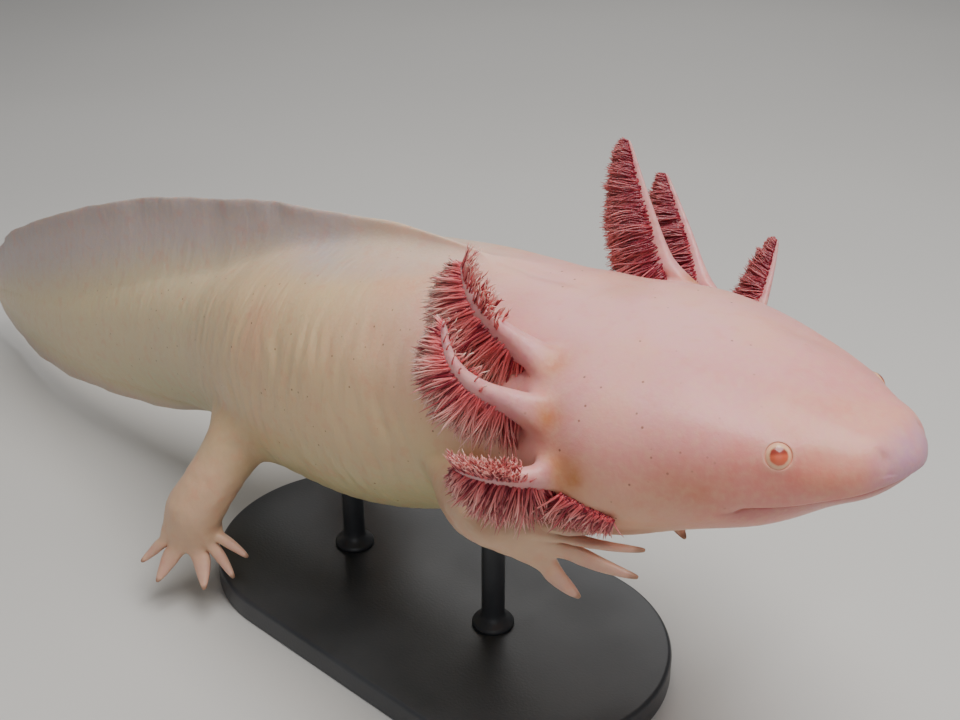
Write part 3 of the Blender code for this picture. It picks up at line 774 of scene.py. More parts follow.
# ---------------------------------------------------------------- gills
@dataclass(frozen=True)
class Gill:
    """One outer gill: a bending stalk, and the fringe of filaments that hangs behind and below it."""

    name: str
    s: float
    side: float
    height: float
    run: tuple
    bow: float
    hang: tuple
    plume: float
    seed: int
    swing: tuple = (0.0, 0.0, 0.0)       # how far the stalk's middle is pushed aside
    girth: float = 1.0                   # thickness of the stalk beyond its root
    front: float = 0.0                   # share of the threads that root on the stalk's front
    # the gill's painted shade: lower values darken the whole fringe, as on the left gills and the right lower
    # one
    tone_and_shade: float = 1.0                    # 1 bright, lower is darker
    slit: tuple = ()                     # where the gill opening that also bears threads ends in front

    ROOT_RADIUS = 2.1
    TIP_RADIUS = 0.5
    TAPER = 1.25
    SIDES = 8
    HOLE = (2, 2)        # cells across and along its hole
    SEPTUM = 0.55        # share of the fringe that is the stalk's own red web
    THREADS, QUICK_THREADS = 4300, 3000
    THREAD_RINGS, THREAD_SIDES = 6, 4
    BUNCHES = 38         # bunches of threads along each row
    THIN, THICKER = 0.055, 0.080     # radius of a thread's tip, and what its root has over that
    STATIONS = (0.20, 0.28, 0.37, 0.46, 0.55, 0.64, 0.73, 0.82, 0.90, 0.96, 1.0)

    def line(self, spine: Spine) -> tuple[Array, Array, Array, Array]:
        """Start, control and end of the stalk's path, and the way out of the head at its root."""
        root = spine.place(self.s, self.side, self.height)[0]
        out = unit(root - spine.at(self.s)[0][0])
        control = root + np.array(self.run) * 0.42 + out * self.bow + np.array(self.swing)
        return root - out * 2.0, control, root + np.array(self.run), out

    def radius(self, t: Array) -> Array:
        """Radius of the stalk."""
        t = np.asarray(t, float)
        full = self.TIP_RADIUS + (self.ROOT_RADIUS - self.TIP_RADIUS) * (1 - t) ** self.TAPER
        return full * (1 - (1 - self.girth) * ease(t, 0.05, 0.40))

    def fringe(self, t: Array) -> Array:
        """Reach of the fringe beyond the stalk."""
        t = np.asarray(t, float)
        return self.plume * np.sin(np.pi * (0.16 + 0.83 * t ** 0.9)) ** 0.6

    def web(self, t: Array) -> Array:
        """Reach of the red web behind the stalk."""
        return self.fringe(t) * self.SEPTUM * ease(t, 0.10, 0.30) * (1 - 0.5 * ease(t, 0.8, 1.0))

    def axes(self, slopes: Array) -> tuple[Array, Array]:
        """The way the fringe hangs, and across it, at each direction of the stalk."""
        hang = np.array(self.hang, float)
        along = unit(hang - slopes * (slopes @ hang)[:, None])
        return along, np.cross(slopes, along)

    def rings(self, spine: Spine) -> tuple[Array, Array]:
        """Rings of the stalk, drawn out behind into a short web, and how far along each is.

        Args:
            spine: the animal's middle line.

        Returns:
            The rings, shape (k, n, 3), and their shares of the path.
        """
        p0, p1, p2, _ = self.line(spine)
        t = np.array(self.STATIONS)
        points, slopes = bezier(p0, p1, p2, t)
        along, across = self.axes(slopes)
        angle = 2 * np.pi * (np.arange(self.SIDES) + 0.5) / self.SIDES
        radius = self.radius(t) * np.where(t > 0.97, 0.55, 1.0) * 1.04
        web = self.web(t)
        behind = np.clip(np.cos(angle), 0, None)
        reach = radius[:, None] * np.cos(angle) * 0.95 + web[:, None] * behind ** 2
        thick = radius[:, None] * np.sin(angle) * (0.92 - 0.45 * behind * ease(t, 0.15, 0.35)[:, None])
        return points[:, None] + along[:, None] * reach[:, :, None] + across[:, None] * thick[:, :, None], t

    def grow(self, cage: Cage, edge: Array, spine: Spine) -> None:
        """Grow the stalk from the edge of its hole behind the cheek.

        Args:
            cage: the net that is added to.
            edge: numbers of the points round the hole, in order.
            spine: the animal's middle line.
        """
        rings, t = self.rings(spine)
        angle = 2 * np.pi * (np.arange(self.SIDES) + 0.5) / self.SIDES
        red = np.clip(np.cos(angle), 0, 1) ** 0.8
        cage.graft(edge, rings, [{"gill": 0.25 + 0.75 * share, "plume": red * float(ease(share, 0.12, 0.26))}
                                 for share in t.tolist()])

    def filaments(self, spine: Spine, quick: bool) -> tuple[Array, Array, Array, Array]:
        """The fringe as many thin tapering threads.

        A thread starts on the stalk's rear or on one of its two faces, leaves along the way the fringe
        hangs, splayed to its side and tipwards, and curves back and down.  Its middle line is
        root + reach·(u·way + u²·sag), and its radius falls from thick to thin along u.

        Args:
            spine: the animal's middle line.

        Returns:
            Points (n, rings, sides, 3), share along each thread, its own random tone with the gill's painted
            shade, and its patch centre.
        """
        rng = np.random.default_rng(self.seed)
        count = self.QUICK_THREADS if quick else self.THREADS
        p0, p1, p2, _ = self.line(spine)
        t = 0.10 + 0.895 * rng.uniform(0.0, 1.0, count) ** 0.95
        points, slopes = bezier(p0, p1, p2, t)
        along, across = self.axes(slopes)
        ahead = rng.uniform(0.0, 1.0, count) < self.front * ease(t, 0.25, 0.55)
        lip = np.arange(count) >= (count - count // 10 if self.slit else count)
        ahead &= ~lip
        turn = np.where(ahead, -1.0, 1.0)
        row = rng.choice([-1.0, 1.0], count) * rng.uniform(0.0, 1.0, count) ** 0.6
        radius, web = self.radius(t), self.web(t)
        outward_share = np.where(ahead, 0.0, rng.uniform(0.0, 1.0, count))
        lift = turn * radius * 0.30 + web * outward_share * 0.92
        start = (points + along * lift[:, None]
                 + across * (row * radius * (0.78 - 0.45 * outward_share))[:, None])
        reach = np.where(ahead, 0.50 * self.plume, self.fringe(t) + radius)
        length = np.clip((reach - np.abs(lift)) * rng.uniform(0.70, 1.10, count), 0.9, None)
        # the threads gather in small bunches, each leaning its own way
        bunch = np.floor(t * self.BUNCHES + rng.uniform(0, 0.5, count))
        bunch = bunch + 45 * (row > 0) + 90 * (np.abs(row) > 0.6)
        lean = rng.normal(0.0, 1.0, (220, 3))[bunch.astype(int)]
        splay = row * (0.26 + 0.10 * lean[:, 0]) + 0.07 * rng.normal(size=count)
        tipward = (0.15 - 0.65 * (1 - ease(t, 0.08, 0.40)) + 0.62 * ease(t, 0.45, 1.0) + 0.12 * lean[:, 1]
                   + 0.10 * rng.normal(size=count))
        way = unit(along * turn[:, None] + across * splay[:, None] + slopes * tipward[:, None])
        sag = (slopes * (0.14 * lean[:, 2])[:, None] + across * rng.normal(0, 0.09, count)[:, None]
               + np.array([0.0, 0.0, -1.0]) * rng.uniform(0.02, 0.20, count)[:, None])
        u = np.linspace(0.0, 1.0, self.THREAD_RINGS)
        middle = (start[:, None] + length[:, None, None]
                  * (u[None, :, None] * way[:, None] + (u ** 2)[None, :, None] * sag[:, None]))
        waves, phase = rng.uniform(3.0, 8.0, count)[:, None], rng.uniform(0, 6.28, count)[:, None]
        wave = np.sin(u[None, :] * waves + phase)
        middle += (wave * u[None, :] * 0.20)[:, :, None] * slopes[:, None]
        if self.slit:
            # the last tenth of the threads stands along the lip of the opening, in front of the stalk
            share = rng.uniform(0.0, 1.0, int(lip.sum()))
            ends = spine.place(self.s - 0.6, self.side, self.height - 2.2)[0], spine.place(*self.slit)[0]
            root = ends[0] + (ends[1] - ends[0]) * share[:, None] + rng.normal(0.0, 0.15, (len(share), 3))
            scale = (0.85 - 0.35 * share) * self.plume / length[lip]
            middle[lip] = root[:, None] + (middle[lip] - middle[lip][:, :1]) * scale[:, None, None]
        tangent = unit(np.gradient(middle, axis=1))
        one = unit(np.cross(tangent, across[:, None] + slopes[:, None] * 0.3))
        two = np.cross(tangent, one)
        thick = (self.THIN + self.THICKER * (1 - u) ** 0.7)[None, :] * rng.uniform(0.75, 1.2, count)[:, None]
        thick[:, -1] *= 0.35
        ring = 2 * np.pi * np.arange(self.THREAD_SIDES) / self.THREAD_SIDES
        tube = (middle[:, :, None] + thick[:, :, None, None]
                * (np.cos(ring)[None, None, :, None] * one[:, :, None] * 1.25
                   + np.sin(ring)[None, None, :, None] * two[:, :, None] * 0.8))
        # each thread's own random tone, lowered by the gill's painted shade
        tone_and_shade = rng.uniform(0, 1, count) * self.tone_and_shade
        patch = np.stack([self.s / 250.0 + 0.10 * t, np.full(count, 0.5 + math.atan2(self.side, self.height)
                                                             / (2 * math.pi)) + 0.012 * row], 1)
        return tube, np.broadcast_to(u, (count, len(u))), tone_and_shade, patch


GILLS = (
    Gill("gill_right_upper", 44.0, -16.1, 12.2, (-12.7, -1.4, 10.0), 2.5, (-0.75, -0.15, -0.66), 7.4, 11,
         swing=(-3.0, -3.2, -0.9), front=0.06),
    Gill("gill_right_middle", 42.0, -21.3, 7.4, (-10.8, -5.2, 10.4), 5.0, (-0.62, -0.25, -0.74), 5.4, 12,
         swing=(-1.9, -3.4, -2.9), front=0.01),
    Gill("gill_right_lower", 38.5, -23.4, -1.2, (-9.0, -9.0, 2.0), 3.5, (-0.45, -0.05, -0.86), 5.4, 13,
         front=0.22, tone_and_shade=0.5, slit=(31.0, -21.6, -6.4)),
    Gill("gill_left_upper", 44.0, 16.1, 12.2, (-13.0, 3.0, 17.8), -1.5, (-0.78, -0.50, -0.38), 6.6, 14,
         girth=0.62, tone_and_shade=0.2),
    Gill("gill_left_middle", 42.0, 21.3, 7.4, (-15.0, 6.5, 14.8), 0.5, (-0.78, -0.46, -0.42), 6.0, 15,
         girth=0.62, tone_and_shade=0.2),
    Gill("gill_left_lower", 38.5, 23.4, -1.2, (-4.0, 12.0, 13.6), 2.0, (-0.80, -0.40, -0.45), 4.4, 16,
         girth=0.62, tone_and_shade=0.2),
)


# ---------------------------------------------------------------- eyes
@dataclass(frozen=True)
class Eye:
    """A lidless eye: a globe set in a shallow fold of skin."""

    name: str
    side: int
    s: float = 12.2
    out: float = 12.6
    up: float = 3.3
    radius: float = 2.2
    sink: float = 1.42

    HOLE, SKIN_OUT = (5, 4), 1.3     # cells across and along its hole, and the skin's place off the centre
    RIM_SIDES = 18       # points round the socket, one for each point of its hole's edge
    # rings of the socket: radius, height over the skin, strength of its mark
    SOCKET = ((2.35, 0.02, 0.1), (2.00, 0.07, 0.4), (1.76, 0.08, 0.8), (1.60, -0.10, 1.0), (1.46, -1.1, 1.0))

    def centre(self, spine: Spine) -> Array:
        """Middle of the globe."""
        return spine.place(self.s, self.side * self.out, self.up)[0]

    def axis(self, spine: Spine, form: BodyForm) -> Array:
        """Way out of the head at the eye: the gradient of the body's outline there.

        Args:
            spine: the animal's middle line.
            form: the body's outline.

        Returns:
            Unit direction.
        """
        base = np.array([self.s, self.side * (self.out + 1.2), self.up + 0.5])
        step = 0.05 * np.eye(3)
        slope = [float(form.inside(*(base + d)[:, None])[0] - form.inside(*(base - d)[:, None])[0])
                 for d in step]
        _, ahead, left, up = (a[0] for a in spine.at(self.s))
        return unit(-ahead * slope[0] + left * slope[1] + up * slope[2])

    def socket(self, spine: Spine, form: BodyForm) -> tuple[Array, list[dict]]:
        """Rings of the skin round the globe: a low fold, its rim, and the way down beside the globe.

        Args:
            spine: the animal's middle line.
            form: the body's outline.

        Returns:
            The rings, shape (k, n, 3), and the marks of each.
        """
        centre, axis = self.centre(spine), self.axis(spine, form)
        _, ahead, _, _ = (a[0] for a in spine.at(self.s))
        first = unit(ahead - axis * np.dot(ahead, axis))
        second = np.cross(axis, first)
        angle = 2 * np.pi * (np.arange(self.RIM_SIDES) + 0.5) / self.RIM_SIDES
        rings, marks = [], []
        for radius, lift, mark in self.SOCKET:
            flat = centre + radius * (np.cos(angle)[:, None] * first + np.sin(angle)[:, None] * second)
            level = last_inside(lambda far: form.inside(*spine.local(flat + axis * far[:, None])) > 1.0,
                                np.full(self.RIM_SIDES, -3.0), np.full(self.RIM_SIDES, 4.0), 30)
            rings.append(flat + axis * (level + lift)[:, None])
            marks.append({"socket": mark, "body": 1.0})
        return np.array(rings), marks


EYES = (Eye("eye_right", -1), Eye("eye_left", 1))


# ---------------------------------------------------------------- meshes
def grid_faces(rows: int, columns: int, closed: bool = True) -> Array:
    """Quads of a grid of points whose columns may close round, as point numbers."""
    number = np.arange(rows * columns).reshape(rows, columns)
    beside = np.roll(number, -1, axis=1)
    quads = np.stack([number[:-1], beside[:-1], beside[1:], number[1:]], 2)
    return quads.reshape(-1, 4) if closed else quads[:, :-1].reshape(-1, 4)


def capped_faces(rows: int, sides: int) -> list:
    """Faces of closed rings and of the point past each end; the points' numbers follow the rings'.

    Args:
        rows: number of rings.
        sides: number of points in a ring.

    Returns:
        Lists of point numbers.
    """
    faces = grid_faces(rows, sides).tolist()
    first, last = np.arange(sides), (rows - 1) * sides + np.arange(sides)
    faces += np.stack([np.roll(first, -1), first, np.full(sides, rows * sides)], 1).tolist()
    return faces + np.stack([last, np.roll(last, -1), np.full(sides, rows * sides + 1)], 1).tolist()


def outward(points: Array, faces: list) -> list:
    """The faces, turned over if the closed mesh they make has a negative volume.

    Args:
        points: points in millimetres, shape (n, 3).
        faces: lists of point numbers, three or four each.

    Returns:
        The faces, with outward normals.
    """
    a, b, c = (points[[f[k] for f in faces]] for k in (0, 1, 2))
    volume = float(np.einsum("ij,ij->i", a, np.cross(b, c)).sum())
    quads = [f for f in faces if len(f) == 4]
    if quads:
        a, b, c = (points[[f[k] for f in quads]] for k in (0, 2, 3))
        volume += float(np.einsum("ij,ij->i", a, np.cross(b, c)).sum())
    return faces if volume > 0 else [list(reversed(f)) for f in faces]


def make_piece(name: str, points: Array, faces: list, marks: dict[str, Array] | None = None,
               smooth: bool = True) -> bpy.types.Object:
    """A mesh object at the origin from points in millimetres.

    Args:
        name: the object's name.
        points: shape (n, 3), millimetres.
        faces: lists of point numbers.
        marks: values of one number a point, kept as attributes.
        smooth: shade smooth.

    Returns:
        The object, linked to the scene.
    """
    mesh = bpy.data.meshes.new(name)
    mesh.from_pydata((np.asarray(points) * MM).tolist(), [], faces)
    for key, value in (marks or {}).items():
        layer = mesh.attributes.new(key, "FLOAT", "POINT")
        layer.data.foreach_set("value", np.asarray(value, np.float32))
    if smooth:
        mesh.polygons.foreach_set("use_smooth", np.ones(len(mesh.polygons), bool))
    mesh.update()
    obj = bpy.data.objects.new(name, mesh)
    bpy.context.scene.collection.objects.link(obj)
    return obj


def settle(obj: bpy.types.Object, finish: bpy.types.Material, slot: str, *nodes: str) -> None:
    """Give a piece its finish, and let it ride on the body and stand for its nodes.

    Args:
        obj: the finished piece.
        finish: its material.
        slot: the record's material slot; not used.
        nodes: the solids that it stands for.
    """
    obj.data.materials.append(finish)
    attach(obj, "root")
    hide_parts(*nodes)
    LOG.info("%s: %d faces", obj.name, len(obj.data.polygons))


# ---------------------------------------------------------------- finishes
class Recipe:
    """A material under construction, with short words for the nodes it is mixed from."""

    def __init__(self, name: str) -> None:
        """Start from a Principled shader."""
        self.material = bpy.data.materials.new(name)
        self.material.use_nodes = True
        self.tree = self.material.node_tree
        self.shader = self.tree.nodes["Principled BSDF"]
        self.place = self.tree.nodes.new("ShaderNodeTexCoord").outputs["Object"]

    def link(self, source: Value, target: Socket) -> None:
        """Join a socket to a socket, or set a plain value on it."""
        if isinstance(source, Socket):
            self.tree.links.new(source, target)
        else:
            target.default_value = source

    def node(self, kind: str, inputs: dict[str | int, Value], **settings: str) -> bpy.types.Node:
        """A new shader node with its own settings, and its inputs linked or set.

        Args:
            kind: the node's type, without its prefix.
            inputs: sockets or plain values, by the input's name or number.
            settings: the node's own settings.

        Returns:
            The node.
        """
        node = self.tree.nodes.new("ShaderNode" + kind)
        for key, value in settings.items():
            setattr(node, key, value)
        for key, value in inputs.items():
            self.link(value, node.inputs[key])
        return node

    def mark(self, name: str, share: float = 1.0) -> Socket:
        """Value of one of the piece's own attributes, or a share of it."""
        value = self.node("Attribute", {}, attribute_name=name).outputs["Fac"]
        return value if share == 1.0 else self.times(value, share)

    def noise(self, size: float, detail: float = 3.0, stretch: tuple = (1, 1, 1)) -> Socket:
        """Cloudy value whose blots are about size millimetres across."""
        place = self.node("Mapping", {"Scale": stretch, "Vector": self.place}).outputs["Vector"]
        inputs = {"Scale": 1.0 / (size * MM), "Detail": detail, "Distortion": 0.0, "Vector": place}
        return self.node("TexNoise", inputs).outputs["Fac"]

    def cells(self, size: float) -> tuple[Socket, Socket]:
        """Distance from the middle of scattered cells, and a random value for each."""
        cell = self.node("TexVoronoi", {"Scale": 1.0 / (size * MM), "Vector": self.place}).outputs
        return cell["Distance"], self.node("SeparateColor", {"Color": cell["Color"]}).outputs["Red"]

    def spread(self, value: Socket, low: float, high: float, bottom: float = 0.0, top: float = 1.0) -> Socket:
        """The value stretched smoothly from low…high to bottom…top."""
        inputs = {"From Min": low, "From Max": high, "To Min": bottom, "To Max": top, "Value": value}
        return self.node("MapRange", inputs, interpolation_type="SMOOTHSTEP").outputs["Result"]

    def sum(self, a: Socket, b: Value) -> Socket:
        """Sum of two values."""
        return self.node("Math", {0: a, 1: b}, operation="ADD").outputs[0]

    def times(self, a: Socket, b: Value) -> Socket:
        """Product of two values."""
        return self.node("Math", {0: a, 1: b}, operation="MULTIPLY").outputs[0]

    def mix(self, share: Value, a: Value, b: Value) -> Socket:
        """Colour a, turning to b as share goes to one; the node's colour inputs are numbers 6 and 7."""
        return self.node("Mix", {0: share, 6: a, 7: b}, data_type="RGBA").outputs[2]

    def over(self, colour: Value, *layers: tuple[Socket, Value]) -> Socket:
        """The colour with further ones laid over it in turn, each by its own share."""
        for share, upper in layers:
            colour = self.mix(share, colour, upper)
        return colour

    def relief(self, height: Socket, depth: float, strength: float = 1.0, **under: Socket) -> Socket:
        """Bump of the given depth in millimetres, over another bump if one is given as Normal."""
        inputs = {"Distance": depth * MM, "Strength": strength, "Height": height, **under}
        return self.node("Bump", inputs).outputs["Normal"]

    def finish(self, **values: Value) -> bpy.types.Material:
        """Set the shader's own sockets, named with underscores for spaces."""
        for key, value in values.items():
            self.link(value, self.shader.inputs[key.replace("_", " ")])
        return self.material


def tint(red: int, green: int, blue: int) -> tuple[float, float, float, float]:
    """A colour given as display values 0 to 255, in linear light."""
    value = np.array([red, green, blue]) / 255.0
    linear = np.where(value <= 0.04045, value / 12.92, ((value + 0.055) / 1.055) ** 2.4)
    return (*(float(v) for v in linear), 1.0)


@dataclass(frozen=True)
class SkinFinish:
    """Moist, scaleless skin: pink head, cream trunk, lavender fins, crimson webs of the gills."""

    head: tuple = tint(228, 154, 144)
    crown: tuple = tint(232, 170, 172)
    cream: tuple = tint(228, 196, 154)
    peach: tuple = tint(234, 176, 144)
    tail: tuple = tint(222, 206, 168)
    belly: tuple = tint(182, 178, 134)
    rose: tuple = tint(226, 112, 92)
    amber: tuple = tint(196, 116, 34)
    # lavender-blue of the snout's tip, a painted highlight
    snout: tuple = tint(196, 152, 178)
    # dusky rose of the lower lip, also laid along the mouth's crease as painted shade
    lip: tuple = tint(186, 104, 104)
    fin: tuple = tint(204, 188, 184)
    fin_edge: tuple = tint(162, 160, 160)
    limb: tuple = tint(216, 178, 148)
    toe: tuple = tint(208, 162, 148)
    nail: tuple = tint(104, 78, 60)
    stalk: tuple = tint(222, 156, 160)
    vein: tuple = tint(190, 98, 112)
    crimson: tuple = tint(196, 42, 58)
    speck: tuple = tint(126, 84, 60)
    lid: tuple = tint(238, 182, 160)

    def make(self) -> bpy.types.Material:
        """Mix the colours by the skin's own marks, with blots, veins and specks over them.

        Returns:
            The material.
        """
        r = Recipe("axolotl_skin")
        blot, mid, fine = r.noise(14.0, 3.0), r.noise(4.5, 3.0), r.noise(1.1, 4.0)
        mottle = r.spread(r.noise(1.5, 3.0), 0.48, 0.66, 0.0, 0.6)
        far, chance = r.cells(2.1)
        dot = r.times(r.spread(far, 0.045, 0.11, 1.0, 0.0), r.spread(chance, 0.30, 0.36))
        colour = r.over(
            self.head,
            (r.mark("cream"), self.cream),
            (r.mark("crown", 0.75), self.crown),
            (r.spread(blot, 0.46, 0.68, 0.0, 0.45), self.peach),
            (r.mark("tail", 0.8), self.tail),
            (r.mark("belly", 0.8), self.belly),
            (r.times(r.mark("blush"), r.spread(mid, 0.2, 0.7, 0.55, 1.0)), self.rose),
            (r.times(r.mark("amber"), r.spread(mid, 0.3, 0.65, 0.6, 1.0)), self.amber),
            # painted highlight: lavender-blue on the snout's tip
            (r.mark("snout"), self.snout),
            (r.mark("limb"), self.limb),
            (r.times(r.spread(r.mark("digit"), 0.1, 0.6), 0.7), self.toe),
            (r.spread(r.mark("digit"), 0.88, 0.99, 0.0, 0.8), self.nail),
            (r.mark("fin"), self.fin),
            (r.mark("edge", 0.55), self.fin_edge),
            (r.mark("socket", 0.5), self.lid),
            (r.spread(r.mark("gill"), 0.0, 0.45, 0.0, 0.85), self.stalk),
            (r.times(r.mark("gill"), mottle), self.vein),
            (r.spread(r.mark("plume"), 0.15, 0.8), self.crimson),
            # the lower lip's own dusky rose below the gape, and a thin line of it along the mouth's crease as
            # painted shade
            (r.mark("lip", 0.8), self.lip),
            (r.spread(fine, 0.35, 0.75, 0.0, 0.22), self.cream),
            (r.spread(r.noise(2.4, 4.0), 0.50, 0.72, 0.0, 0.14), self.rose),
            (r.times(r.times(dot, r.mark("speckled")), 0.8), self.speck))
        pores = r.noise(0.55, 3.0)
        trunk = r.spread(r.mark("cream"), 0.2, 1.0, 0.25, 1.0)
        wrinkle = r.times(r.noise(1.9, 3.0, (1.0, 0.26, 0.26)), trunk)
        normal = r.relief(pores, 0.08, 0.6, Normal=r.relief(wrinkle, 0.34, 0.6))
        return r.finish(Base_Color=colour, Roughness=r.spread(fine, 0.3, 0.7, 0.36, 0.50), Normal=normal,
                        Subsurface_Weight=0.32, Subsurface_Radius=(1.0, 0.42, 0.26), Subsurface_Scale=0.0028,
                        Coat_Weight=0.22, Coat_Roughness=0.22, IOR=1.38, Specular_IOR_Level=0.42)


@dataclass(frozen=True)
class FringeFinish:
    """Gill filaments: deep crimson where they root, paling to pink at the tips."""

    root: tuple = tint(228, 92, 98)
    middle: tuple = tint(240, 138, 136)
    tip: tuple = tint(248, 202, 188)
    # deep crimson of the painted shade in the fringe
    painted_shade: tuple = tint(122, 18, 42)

    def make(self) -> bpy.types.Material:
        """Mix along each filament, with a tone of its own, painted shade towards the roots of dim threads,
        and beads of blood along it.

        Returns:
            The material.
        """
        r = Recipe("gill_fringe")
        along, tone_and_shade, bead = r.mark("along"), r.mark("tone_and_shade"), r.noise(0.5, 2.0)
        pale = r.times(r.spread(along, 0.38, 0.96), r.spread(tone_and_shade, 0.0, 0.7, 0.05, 1.0))
        # painted shade: threads of low tone, most of those on the left gills, darken towards their roots
        shaded = r.times(r.spread(tone_and_shade, 0.26, 0.12, 0.0, 0.95), r.spread(along, 1.7, 0.3))
        colour = r.over(self.root, (r.spread(along, 0.0, 0.55), self.middle), (pale, self.tip),
                        (shaded, self.painted_shade), (r.spread(bead, 0.55, 0.8, 0.0, 0.3), self.root))
        return r.finish(Base_Color=colour, Roughness=r.spread(bead, 0.3, 0.7, 0.30, 0.45),
                        Normal=r.relief(bead, 0.04), Subsurface_Weight=0.2,
                        Subsurface_Radius=(1.0, 0.2, 0.15), Subsurface_Scale=0.0008,
                        Coat_Weight=0.3, Coat_Roughness=0.15, IOR=1.38)


@dataclass(frozen=True)
class EyeFinish:
    """A pale animal's eye: rosy pupil, thin golden ring, pinkish white beyond, under a wet surface."""

    pupil: tuple = tint(222, 108, 78)
    # painted shade over the pupil's top
    pupil_top_shade: tuple = tint(158, 66, 54)
    ring: tuple = tint(240, 190, 152)
    iris: tuple = tint(238, 178, 150)
    white: tuple = tint(226, 154, 138)

    def make(self) -> bpy.types.Material:
        """Mix by the angle from the eye's axis, with fine rays in the iris and painted shade over the pupil's
        top.

        Returns:
            The material.
        """
        r = Recipe("eye_globe")
        angle, high, ray = r.mark("angle"), r.mark("high"), r.noise(0.35, 3.0)
        ragged = r.sum(angle, r.spread(ray, 0.3, 0.7, -0.012, 0.012))
        # painted shade: the pupil darkens towards its top, by the globe's height mark
        colour = r.over(self.pupil, (r.spread(high, -0.1, 0.55), self.pupil_top_shade),
                        (r.spread(ragged, 0.29, 0.40), self.ring), (r.spread(ragged, 0.44, 0.52), self.iris),
                        (r.spread(ragged, 0.52, 0.60), self.white))
        return r.finish(Base_Color=colour, Roughness=r.spread(ray, 0.3, 0.7, 0.18, 0.26),
                        Subsurface_Weight=0.1, Subsurface_Radius=(1.0, 0.4, 0.3), Subsurface_Scale=0.0006,
                        Coat_Weight=0.5, Coat_Roughness=0.08, IOR=1.40)


@dataclass(frozen=True)
class StandFinish:
    """Satin dark paint on metal, with the faint grain of a sprayed coat."""

    name: str = "stand_satin"
    paint: tuple = tint(52, 54, 58)
    worn: tuple = tint(70, 72, 76)

    def make(self) -> bpy.types.Material:
        """Mix two near tones, and give the coat its orange-peel grain.

        Returns:
            The material.
        """
        r = Recipe(self.name)
        cloud, grain = r.noise(22.0, 4.0), r.noise(0.45, 3.0)
        colour = r.mix(r.spread(cloud, 0.35, 0.75), self.paint, self.worn)
        return r.finish(Base_Color=colour, Roughness=r.spread(cloud, 0.3, 0.7, 0.34, 0.46),
                        Normal=r.relief(grain, 0.04, 0.6), Metallic=0.0, Coat_Weight=0.12,
                        Coat_Roughness=0.25)


@dataclass(frozen=True)
class FloorFinish:
    """Plain pale studio floor."""

    pale: tuple = tint(206, 205, 202)
    paler: tuple = tint(210, 209, 206)

    def make(self) -> bpy.types.Material:
        """Two nearly equal pale tones under a matt surface."""
        r = Recipe("studio_floor")
        colour = r.mix(r.spread(r.noise(180.0, 2.0), 0.3, 0.7), self.pale, self.paler)
        return r.finish(Base_Color=colour, Roughness=r.spread(r.noise(60.0, 2.0), 0.3, 0.7, 0.62, 0.68))


